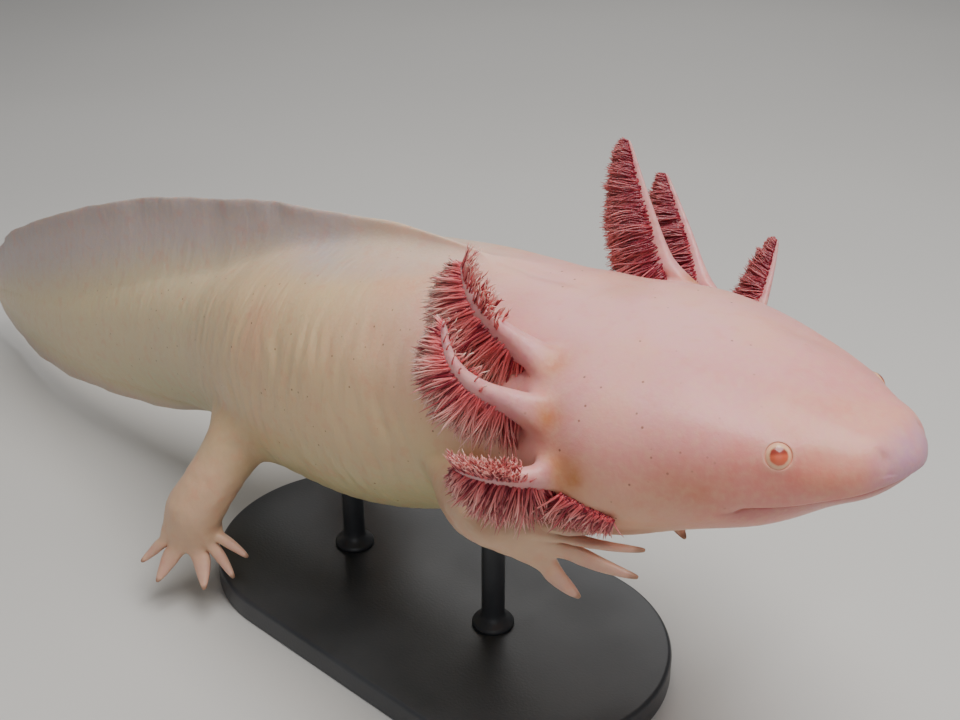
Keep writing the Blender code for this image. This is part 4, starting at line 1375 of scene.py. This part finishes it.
# ---------------------------------------------------------------- the skin
@dataclass
class Skin:
    """The whole animal's skin: one closed surface grown over a cage and worked with folds and grooves."""

    spine: Spine
    form: BodyForm
    groove_gap: float = 3.7
    groove_depth: float = 0.24
    levels: int = 2

    NODES = ("head", "lower_jaw", "neck", "trunk_front", "trunk_middle", "trunk_rear", "pelvis", "tail_root",
             "tail_middle", "tail_end", "fin_back", "fin_tail_upper", "fin_tail_lower",
             "arm_right_upper", "arm_right_lower", "hand_right",
             "arm_left_upper", "arm_left_lower", "hand_left",
             "leg_right_upper", "leg_right_lower", "foot_right",
             "leg_left_upper", "leg_left_lower", "foot_left")

    # folds across the body, by distance behind the snout; the step behind the skull wanders round its end
    SKULL_END, SKULL_STEP = 47.0, Bell(0.0, 2.6, 0.75)
    THROAT, COLLAR = Bell(43.5, 1.3, 0.85), Bell(47.5, 1.0, 0.35)
    # stretches of the spine with the ribs' grooves, the belly's creases and the hollow of the back
    RIBS, CREASES, HOLLOW = Stretch(54, 66, 124, 144), Stretch(60, 72, 118, 130), Stretch(46, 54, 60, 70)
    RIB_SHARE = Stretch(-1.0, -0.7, 0.40, 0.95)          # share of the half height that the grooves take
    CREASE_GAP = 2.1
    VENT, MIDLINE = Bell(129.0, 4.0, 0.8), Bell(0.0, 0.55)
    LIP_CREASE, LIP_TUCK, CORNER_PIT = 0.55, 0.42, 0.30  # depths
    # pits: bell along the spine, and bell to the side or in height
    NOSTRIL = Bell(2.2, 0.55, 0.55), Bell(5.0, 0.5)
    SNOUT_PIT = Bell(7.0, 2.4, 0.30), Bell(2.6, 2.0)
    TEMPLE = Bell(20.0, 5.0, 0.35), Bell(10.0, 3.0)
    # rosy spots of the lip and the cheek: bell along the spine, and bell in height
    ROSY = (Bell(7.0, 4.5, 0.34), Bell(0.2, 1.8)), (Bell(24.0, 9.0, 0.16), Bell(-3.0, 5.5))
    NAPE = Bell(53.0, 4.0, 0.30), Bell(0.55, 0.35)       # the second by share of the half height
    CORNER_AMBER = Bell(21.0, 4.5, 0.30), Bell(-0.9, 2.6)
    FIN_SPILL = Bell(90.0, 20.0, 3.4)                    # how far the fin's colour runs down the back
    FLECKS = Stretch(12, 30, 150, 200)                   # where brown specks lie
    LOWER_FIN = (142, 160)                               # where the lower fin's colour comes in
    BARE_LIMB = 0.02                                     # a point with less of this mark is on no limb

    def whereabouts(self, points: Array) -> tuple[Array, ...]:
        """Distance, side and height, the body's half heights there, and the height as a share of them."""
        s, side, height = self.spine.local(points)
        _, above, below, _ = self.form.sizes(np.clip(s, 1.0, Spine.LENGTH - 1.0))
        return s, side, height, above, below, height / np.where(height > 0, above, below)

    def cage(self) -> Cage:
        """The coarse net: trunk grid, limbs, gill stalks and eye sockets, joined along shared edges.

        Returns:
            The cage, closed all over.
        """
        trunk, cage = Trunk(self.spine, self.form), Cage()
        rings, nose, tail = trunk.grid()
        growths = []
        for limb in LIMBS:
            leaves = limb.exit_share(self.spine, self.form)
            place = limb.path(np.array([leaves]))[0][0]
            growths.append((trunk.hole_at(rings, place, *limb.HOLE[limb.kind]), limb.grow,
                            (leaves + limb.SLEEVE[limb.kind],)))
        for gill in GILLS:
            place = self.spine.place(gill.s, gill.side, gill.height)[0]
            growths.append((trunk.hole_at(rings, place, *gill.HOLE), gill.grow, (self.spine,)))
        for eye in EYES:
            place = eye.centre(self.spine) + eye.axis(self.spine, self.form) * eye.SKIN_OUT
            growths.append((trunk.hole_at(rings, place, *eye.HOLE), Cage.graft,
                            eye.socket(self.spine, self.form)))
        trunk.lay(cage, rings, (nose, tail), [hole for hole, _, _ in growths])
        for hole, grow, details in growths:
            grow(cage, hole.edge(Trunk.COLUMNS), *details)
        return cage

    def smoothed(self, cage: Cage) -> tuple[Array, list, dict[str, Array]]:
        """The cage after Catmull-Clark smoothing: points in millimetres, faces and marks.

        Args:
            cage: the coarse net.

        Returns:
            The three of them.
        """
        points = np.concatenate(cage.points)
        marks = {key: np.concatenate(value) for key, value in cage.marks.items()}
        rough = make_piece("skin_cage", points, cage.faces, marks)
        net = bmesh.new()
        net.from_mesh(rough.data)
        bmesh.ops.recalc_face_normals(net, faces=net.faces)
        net.to_mesh(rough.data)
        net.free()
        step = rough.modifiers.new("smooth", "SUBSURF")
        step.levels = step.render_levels = self.levels
        step.boundary_smooth = "ALL"
        graph = bpy.context.evaluated_depsgraph_get()
        mesh = bpy.data.meshes.new_from_object(rough.evaluated_get(graph), depsgraph=graph)
        co = np.empty(len(mesh.vertices) * 3)
        mesh.vertices.foreach_get("co", co)
        found = {}
        for key in Cage.MARKS:
            value = np.empty(len(mesh.vertices), np.float32)
            mesh.attributes[key].data.foreach_get("value", value)
            found[key] = value.astype(float)
        quads = np.empty(len(mesh.polygons) * 4, np.int32)
        mesh.polygons.foreach_get("vertices", quads)
        bpy.data.objects.remove(rough)
        bpy.data.meshes.remove(mesh)
        points, quads = co.reshape(-1, 3) / MM, quads.reshape(-1, 4)
        used = np.zeros(len(points), bool)
        used[quads.ravel()] = True
        renumber = np.cumsum(used) - 1
        return points[used], renumber[quads].tolist(), {k: v[used] for k, v in found.items()}

    @staticmethod
    def normals(points: Array, quads: Array) -> Array:
        """Unit normals of the points: the sum of each face's diagonals crossed.

        Args:
            points: points in millimetres, shape (n, 3).
            quads: the faces' point numbers, shape (m, 4).

        Returns:
            The normals, shape (n, 3).
        """
        a, b, c, d = (points[quads[:, k]] for k in range(4))
        cross = np.cross(c - a, d - b)
        total = np.zeros_like(points)
        for k in range(4):
            np.add.at(total, quads[:, k], cross)
        return unit(total)

    def folds(self, points: Array, marks: dict[str, Array]) -> Array:
        """How far each point is pressed in, in millimetres, by every fold, groove, pit and crease.

        Args:
            points: points in millimetres, shape (n, 3).
            marks: the points' marks, by name.

        Returns:
            One depth for each point.
        """
        s, side, height, _, _, share = self.whereabouts(points)
        body = np.clip(marks["body"], 0, 1) ** 2
        wander = grid_noise(points, 16.0, 3)
        press = np.zeros(len(points))
        # flank grooves, one for each rib, leaning a little
        phase = (s + 0.10 * height + 1.1 * wander + 0.5 * grid_noise(points, 9.0, 8)) / self.groove_gap
        groove = (0.5 + 0.5 * np.cos(2 * np.pi * phase)) ** 2
        groove = groove * np.clip(0.65 + 0.5 * grid_noise(points, 11.0, 9), 0.1, 1.2)
        press += self.groove_depth * groove * self.RIBS(s) * self.RIB_SHARE(share) * (0.8 + 0.3 * wander)
        # finer creases low on the belly
        fine = 0.5 + 0.5 * np.sin(2 * np.pi * (s + 0.6 * grid_noise(points, 7.0, 4)) / self.CREASE_GAP)
        press += 0.10 * fine * self.CREASES(s) * (1 - ease(share, -0.8, -0.2))
        # step behind the skull, folds under the throat and in front of the shoulders
        top, low = ease(share, 0.05, 0.5) * (1 - 0.8 * ease(share, 0.70, 0.95)), 1 - ease(share, -0.75, -0.2)
        press += self.SKULL_STEP(s - (self.SKULL_END + 0.6 * wander)) * top
        bowed = s - 0.012 * side ** 2
        press += (self.THROAT(bowed) + self.COLLAR(bowed)) * low
        # hollow along the middle of the back before the fin starts, and the vent's slit
        press += 0.35 * bump(side, 0.0, 1.3) * self.HOLLOW(s) * (share > 0)
        press += self.MIDLINE(side) * self.VENT(s) * (share < 0)
        # mouth: crease along the gape, lower lip drawn in under the upper, pit at the corner
        over, corner = height - self.form.gape(s), self.form.corner_s
        mouth = 1 - ease(s, corner - 1.5, corner + 1.5)
        press += self.LIP_CREASE * np.exp(-((over / 0.22) ** 2)) * mouth
        press += self.LIP_TUCK * ease(over, -4.2, -0.3) * (over < 0.0) * mouth
        press += self.CORNER_PIT * bump(s, corner, 1.5) * bump(over, 0.0, 1.0) * (share < 0)
        # nostrils, the shallow hollow between snout and eye, and the temples
        press += self.NOSTRIL[0](s) * self.NOSTRIL[1](np.abs(side)) * (height > 0)
        press += self.SNOUT_PIT[0](s) * self.SNOUT_PIT[1](height)
        press += self.TEMPLE[0](s) * self.TEMPLE[1](np.abs(side)) * (height > 0)
        # soft unevenness all over
        press += 0.16 * (grid_noise(points, 13.0, 5) * 0.5 + 0.5) * (1 - marks["socket"])
        return press * body + 0.05 * grid_noise(points, 3.0, 6) * marks["limb"] * (1 - marks["digit"])

    def colour_marks(self, points: Array, marks: dict[str, Array]) -> dict[str, Array]:
        """The marks that the finish mixes its colours by, each from 0 to 1.

        Args:
            points: points in millimetres, shape (n, 3).
            marks: the points' marks, by name.

        Returns:
            The marks by name.
        """
        s, _, height, above, below, share = self.whereabouts(points)
        body = np.clip(marks["body"], 0, 1)
        lip = height - self.form.gape(s)
        mouth = 1 - ease(s, self.form.corner_s - 1.0, self.form.corner_s + 4.0)
        bare = marks["limb"] < self.BARE_LIMB
        fin, edge = self.fin_marks(s, height - above, -height - below)
        out = {"fin": fin * bare, "edge": edge * bare}
        cheek = 0.55 * ease(s, 14, 30) * (1 - ease(share, -0.5, 0.35))
        out["cream"] = np.clip(ease(s, 44, 76) + cheek, 0, 1)
        out["tail"] = ease(s, 105, 150)
        out["crown"] = (1 - ease(s, 50, 90)) * ease(share, 0.0, 0.8)
        out["belly"] = ease(s, 50, 70) * (1 - ease(share, -0.75, 0.15)) * (1 - 0.7 * ease(s, 140, 190))
        out["blush"] = self.blush(points, s, height, share, body)
        out["amber"] = self.amber(points, s, height) * (1 - marks["plume"])
        # snout: where the finish paints the bluish highlight on the snout's tip
        out["snout"] = 0.8 * (1 - ease(s, 0.5, 4.5)) * ease(height, -4.2, -1.0)
        # lip: the lower lip's dusky band, and a narrow line on the gape itself that paints the crease's shade
        out["lip"] = np.clip(ease(lip, -3.4, -0.2) * (lip < 0.15) * mouth * 0.85
                             + 0.6 * np.exp(-((lip / 0.35) ** 2)) * mouth, 0, 1)
        out["speckled"] = np.clip(self.FLECKS(s) * body * (1 - out["fin"]), 0, 1)
        return out

    def fin_marks(self, s: Array, over: Array, under: Array) -> tuple[Array, Array]:
        """How much there is of the fin's own colour, and of its edge's.

        Args:
            s: distance behind the tip of the snout.
            over: how far the point lies over the back.
            under: how far under the belly.

        Returns:
            The two marks.
        """
        tall_up = np.maximum(self.form.fin_height(s, True), 0.4)
        tall_low = np.maximum(self.form.fin_height(s, False), 0.4)
        upper = ease((over + self.FIN_SPILL(s)) / tall_up, -0.25, 0.55)
        upper = upper * (0.5 * ease(s, 60, 78) + 0.5 * ease(s, 84, 104))
        lower = 0.45 * ease(under / tall_low, 0.0, 0.8) * ease(s, *self.LOWER_FIN)
        edge = (ease(over / tall_up, 0.55, 1.0) * ease(s, 90, 120)
                + 0.5 * ease(under / tall_low, 0.5, 1.0) * ease(s, *self.LOWER_FIN))
        return np.clip(upper + lower, 0, 1), np.clip(edge, 0, 1)

    def blush(self, points: Array, s: Array, height: Array, share: Array, body: Array) -> Array:
        """Rose round the eye, along the lip, over the cheek and nape, and on knees, elbows and palms.

        Args:
            points: points in millimetres, shape (n, 3).
            s: distance behind the tip of the snout.
            height: height over the spine.
            share: the height as a share of the body's half height.
            body: one on head, trunk and tail, zero on what grows from them.

        Returns:
            The mark.
        """
        eye_far = np.hypot((s - Eye.s) / 1.15, (height - 2.6))
        blush = 0.34 * np.exp(-((eye_far / 4.2) ** 2)) + 0.20 * (1 - ease(s, 14, 34)) * ease(share, -0.4, 0.3)
        for along, high in self.ROSY:
            blush += along(s) * high(height)
        blush += self.NAPE[0](s) * self.NAPE[1](share)
        knee = np.zeros(len(points))
        for limb in LIMBS:
            joint = limb.path(np.array([limb.JOINT_SHARE[limb.kind]]))[0][0]
            palm = limb.palm()["hub"]
            knee += 0.35 * np.exp(-(np.linalg.norm(points - joint, axis=1) / 6.5) ** 2)
            knee += 0.40 * np.exp(-(np.linalg.norm(points - palm, axis=1) / 4.5) ** 2)
        return np.clip(blush * body * (1 - ease(s, 56, 66)) + knee, 0, 1)

    def amber(self, points: Array, s: Array, height: Array) -> Array:
        """Amber at the corner of the mouth and round the roots of the gills.

        Args:
            points: points in millimetres, shape (n, 3).
            s: distance behind the tip of the snout.
            height: height over the spine.

        Returns:
            The mark.
        """
        amber = self.CORNER_AMBER[0](s) * self.CORNER_AMBER[1](height)
        for gill in GILLS:
            rise, weight = (1.0, 1.4) if "lower" in gill.name else (-0.8, 0.9)
            root = self.spine.place(gill.s - 1.8, gill.side, gill.height + rise)[0]
            amber += weight * np.exp(-(np.linalg.norm(points - root, axis=1) / 2.6) ** 2)
        return np.clip(amber, 0, 0.9)

    def build(self) -> bpy.types.Object:
        """Grow, smooth, fold and mark the skin.

        Returns:
            The skin's object.
        """
        cage = self.cage()
        points, faces, marks = self.smoothed(cage)
        faces = outward(points, faces)
        quads = np.array(faces)
        points = points - self.normals(points, quads) * self.folds(points, marks)[:, None]
        # the fins' blades ripple sideways, most at their edge
        colours = self.colour_marks(points, marks)
        s = self.spine.local(points)[0]
        ripple = 0.32 * np.sin(2 * np.pi * s / 19.0) + 0.16 * np.sin(2 * np.pi * s / 8.3 + 1.0)
        left = self.spine.at(np.clip(s, 0, 250))[2]
        points = points + left * (ripple * colours["edge"])[:, None]
        kept = {key: marks[key] for key in ("limb", "digit", "gill", "plume", "socket")}
        return make_piece("skin", points, faces, {**kept, **colours})


# ---------------------------------------------------------------- gill fringes, eyes, stand
@dataclass
class Fringe:
    """The filaments of one gill, joined in one mesh."""

    gill: Gill
    spine: Spine

    def build(self) -> bpy.types.Object:
        """All filaments as closed tapering tubes, each with its own patch of the map OFBake.

        Returns:
            The fringe's object.
        """
        tube, along, tone_and_shade, patch = self.gill.filaments(self.spine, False)
        count, rows, sides = tube.shape[:3]
        one = grid_faces(rows, sides)
        offset = np.arange(count)[:, None, None] * rows * sides
        quads = (one[None] + offset).reshape(-1, 4)
        root_cap = np.arange(sides)[::-1][None] + offset[:, 0]
        tip_cap = ((rows - 1) * sides + np.arange(sides))[None] + offset[:, 0]
        faces = quads.tolist() + root_cap.tolist() + tip_cap.tolist()
        points = tube.reshape(-1, 3)
        first = one[0]
        a, b, c = points[first[0]], points[first[1]], points[first[2]]
        middle = tube[0, :2].reshape(-1, 3).mean(0)
        if np.dot(np.cross(b - a, c - a), a - middle) < 0:
            faces = [list(reversed(f)) for f in faces]
        marks = {"along": np.repeat(along, sides, axis=1).ravel(), "tone_and_shade": np.repeat(tone_and_shade, rows * sides)}
        obj = make_piece(self.gill.name + "_fringe", points, faces, marks)
        self.map_patches(obj.data, patch, rows, sides)
        return obj

    @staticmethod
    def map_patches(mesh: bpy.types.Mesh, patch: Array, rows: int, sides: int) -> None:
        """Give each filament a patch about 0.003 across, round a place worked out from where its root lies
        along and round the body.

        Args:
            mesh: the fringe's mesh.
            patch: centre of each filament's patch.
            rows: number of rings.
            sides: number of points in a ring.
        """
        layer = mesh.uv_layers.new(name="OFBake")
        corner = np.empty(len(mesh.loops), np.int32)
        mesh.loops.foreach_get("vertex_index", corner)
        number, within = np.divmod(corner, rows * sides)
        row, turn = np.divmod(within, sides)
        u = patch[number, 0] + 0.003 * (turn / sides - 0.5)
        v = patch[number, 1] + 0.003 * (row / (rows - 1) - 0.5)
        layer.data.foreach_set("uv", np.stack([u, v], 1).astype(np.float32).ravel())


@dataclass
class Globe:
    """One eyeball."""

    eye: Eye
    spine: Spine
    form: BodyForm
    rows: int = 40
    sides: int = 48

    def build(self) -> bpy.types.Object:
        """A ball whose pole is the pupil; the cornea swells a little over it.

        A point at angle a from the axis and turn b lies at radius·(cos a·axis + sin a·(cos b·first +
        sin b·second)), with the radius three hundredths greater over the pupil.

        Returns:
            The eyeball's object.
        """
        centre, axis = self.eye.centre(self.spine), self.eye.axis(self.spine, self.form)
        _, _, _, up = (a[0] for a in self.spine.at(self.eye.s))
        first = unit(up - axis * np.dot(up, axis))
        second = np.cross(axis, first)
        a = np.linspace(0.0, np.pi, self.rows)[1:-1]
        b = np.linspace(0.0, 2 * np.pi, self.sides, endpoint=False)
        aa, bb = np.meshgrid(a, b, indexing="ij")
        radius = (self.eye.radius - 0.06) * (1.0 + 0.03 * bump(aa, 0.0, 0.6))
        way = (np.cos(aa)[..., None] * axis + np.sin(aa)[..., None]
               * (np.cos(bb)[..., None] * first + np.sin(bb)[..., None] * second))
        points = (centre - axis * self.eye.sink + way * radius[..., None]).reshape(-1, 3)
        ends = np.stack([centre - axis * self.eye.sink + axis * radius[0, 0],
                         centre - axis * self.eye.sink - axis * radius[-1, 0]])
        points = np.vstack([points, ends])
        faces = capped_faces(self.rows - 2, self.sides)
        angle = np.concatenate([(aa / (np.pi / 2)).ravel(), [0.0, 2.0]])
        # height towards the globe's top, by which the finish paints shade over the pupil
        high = np.concatenate([(np.sin(aa) * np.cos(bb) / 0.42).ravel(), [0.0, 0.0]])
        marks = {"angle": angle, "high": high}
        return make_piece(self.eye.name + "_globe", points, outward(points, faces), marks)


@dataclass
class DisplayStand:
    """A flat base with rounded ends and two slim rods that carry the belly."""

    spine: Spine
    form: BodyForm
    length: float = 92.0
    width: float = 50.0
    thickness: float = 4.5
    edge: float = 0.8
    rod_radius: float = 2.0
    rods: tuple = (("stand_rod_front", 70.0), ("stand_rod_rear", 106.0))

    BASE_SIDES, ROD_SIDES = 192, 56
    TOP_INSETS, BOTTOM_INSETS = (6.0, 14.0, 20.0), (20.0, 8.0)
    # a rod's collar and cup: height over the base or over the rod's top, and what it is wider than the rod
    COLLAR = ((0.0, 1.6), (0.5, 1.6), (0.9, 1.3), (1.4, 0.35), (2.2, 0.0), (4.0, -0.02))
    CUP = ((-7.0, -0.02), (-4.4, -0.02), (-3.0, 0.15), (-1.9, 0.7), (-1.0, 1.3), (-0.4, 1.5), (0.0, 1.4))
    CROWN = 0.1          # rise of the cup's middle

    def base(self) -> bpy.types.Object:
        """The base: its outline, two half circles joined by straight sides, carried up a rounded edge.

        Returns:
            The base's object.
        """
        half_w = self.width / 2
        turn = np.linspace(0, 2 * np.pi, self.BASE_SIDES, endpoint=False)
        middle = np.stack([np.copysign(self.length / 2 - half_w, np.cos(turn)), np.zeros_like(turn)], 1)
        way = np.stack([np.cos(turn), np.sin(turn)], 1)
        arc = np.linspace(0, np.pi / 2, 7)
        low = [(self.edge * 0.4 * (1 - math.sin(a)), self.edge * 0.4 * (1 - math.cos(a))) for a in arc]
        high = [(self.edge * (1 - math.cos(a)), self.thickness - self.edge * (1 - math.sin(a))) for a in arc]
        under, inner = [(i, 0.0) for i in self.BOTTOM_INSETS], [(i, self.thickness) for i in self.TOP_INSETS]
        profile = under + low + [(0.0, self.thickness * 0.5)] + high + inner
        rings = [np.column_stack([middle + way * (half_w - inset), np.full(len(turn), z)])
                 for inset, z in profile]
        points = np.concatenate(rings + [np.array([[0, 0, 0.0], [0, 0, self.thickness]])])
        return make_piece("stand_base_plate", points, outward(points, capped_faces(len(profile), len(turn))))

    def rod(self, name: str, s: float) -> bpy.types.Object:
        """A rod with a collar at its foot and a small cup under the belly: radii carried up a line.

        Args:
            name: the rod's node.
            s: distance behind the tip of the snout.

        Returns:
            The rod's object.
        """
        foot = self.spine.place(s, 0.0, 0.0)[0]
        below = float(self.form.sizes(np.array([s]))[2][0])
        top = foot[2] - below / float(self.spine.at(s)[3][0][2]) + 0.9
        sides = self.ROD_SIDES
        levels = ([(self.thickness + rise, self.rod_radius + more) for rise, more in self.COLLAR]
                  + [(top + rise, self.rod_radius + more) for rise, more in self.CUP])
        turn = np.linspace(0, 2 * np.pi, sides, endpoint=False)
        rings = [np.column_stack([foot[0] + radius * np.cos(turn), radius * np.sin(turn), np.full(sides, z)])
                 for z, radius in levels]
        ends = np.array([[foot[0], 0, self.thickness], [foot[0], 0, top + self.CROWN]])
        points = np.concatenate(rings + [ends])
        return make_piece(name + "_turned", points, outward(points, capped_faces(len(rings), sides)))

    def build(self) -> None:
        """Make and place the base and both rods."""
        finish = StandFinish().make()
        settle(self.base(), finish, "stand", "stand_base")
        for name, s in self.rods:
            settle(self.rod(name, s), finish, "stand", name)


# ---------------------------------------------------------------- studio
@dataclass
class Studio:
    """Plain floor, soft lights and the camera."""

    eye_point: tuple = (0.1378, -0.1361, 0.1505)
    ahead: tuple = (-0.604, 0.650, -0.461)
    lens: float = 50.5
    floor_half: float = 3.0

    # name, place, target, size, watts and colour
    LIGHTS = (("key", (0.12, 0.00, 0.46), (0.03, 0.0, 0.05), 0.30, 2.5, (1.0, 0.975, 0.95)),
              ("fill", (0.50, -0.50, 0.34), (0.0, 0.0, 0.05), 0.60, 0.62, (0.95, 0.97, 1.0)),
              ("rim", (-0.30, 0.45, 0.42), (0.0, 0.0, 0.06), 0.40, 0.8, (1.0, 0.98, 0.96)))
    SURROUND, GLOW = (0.86, 0.88, 0.92, 1.0), 0.13

    def floor(self) -> None:
        """A flat pale square under everything."""
        line = np.linspace(-self.floor_half, self.floor_half, 9) / MM
        x, y = np.meshgrid(line, line, indexing="ij")
        points = np.stack([x.ravel(), y.ravel(), np.zeros(x.size)], 1)
        floor = make_piece("floor", points, grid_faces(9, 9, closed=False)[:, ::-1].tolist())
        floor.data.materials.append(FloorFinish().make())

    def light(self, name: str, place: tuple, target: tuple, size: float, watts: float, colour: tuple) -> None:
        """One square soft light aimed at a point.

        Args:
            name: the light's name.
            place: where it stands, in metres.
            target: the point it is aimed at.
            size: its side in metres.
            watts: its power.
            colour: its colour.
        """
        lamp = bpy.data.lights.new(name, "AREA")
        lamp.shape, lamp.size, lamp.energy, lamp.color = "SQUARE", size, watts, colour
        obj = bpy.data.objects.new(name, lamp)
        bpy.context.scene.collection.objects.link(obj)
        self.aim(obj, np.array(place, float), unit(np.array(target, float) - np.array(place, float)))

    @staticmethod
    def aim(obj: bpy.types.Object, place: Array, way: Array) -> None:
        """Put an object at a place, looking along a direction with its top up.

        Args:
            obj: the camera or light.
            place: where it goes, in metres.
            way: unit direction it looks along.
        """
        right = unit(np.cross(way, [0.0, 0.0, 1.0])) if abs(way[2]) < 0.999 else np.array([1.0, 0, 0])
        up = np.cross(right, way)
        matrix = np.eye(4)
        matrix[:3, 0], matrix[:3, 1], matrix[:3, 2], matrix[:3, 3] = right, up, -way, place
        obj.matrix_world = Matrix(matrix.tolist())

    def camera(self) -> None:
        """The camera, upright, with no depth of field."""
        lens = bpy.data.cameras.new("camera")
        lens.lens, lens.sensor_width, lens.clip_start, lens.clip_end = self.lens, 36.0, 0.01, 50.0
        obj = bpy.data.objects.new("camera", lens)
        bpy.context.scene.collection.objects.link(obj)
        self.aim(obj, np.array(self.eye_point), unit(np.array(self.ahead)))
        bpy.context.scene.camera = obj

    def world(self) -> None:
        """A dim even surround."""
        world = bpy.data.worlds.new("studio")
        world.use_nodes = True
        back = world.node_tree.nodes["Background"]
        back.inputs["Color"].default_value = self.SURROUND
        back.inputs["Strength"].default_value = self.GLOW
        bpy.context.scene.world = world

    def build(self) -> None:
        """Set the studio up."""
        self.camera()
        self.floor()
        self.world()
        for lamp in self.LIGHTS:
            self.light(*lamp)


def main() -> None:
    """Build the skin, gills, eyes and stand in order, then the studio."""
    logging.basicConfig(level=logging.INFO, format="%(name)s: %(message)s")
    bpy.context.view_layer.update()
    spine, form = Spine(), BodyForm()
    settle(Skin(spine, form).build(), SkinFinish().make(), "flesh", *Skin.NODES)
    crimson, wet = FringeFinish().make(), EyeFinish().make()
    for gill in GILLS:
        settle(Fringe(gill, spine).build(), crimson, "gill", gill.name)
    for eye in EYES:
        settle(Globe(eye, spine, form).build(), wet, "eye", eye.name)
    DisplayStand(spine, form).build()
    Studio().build()


if __name__ == "__main__":
    main()
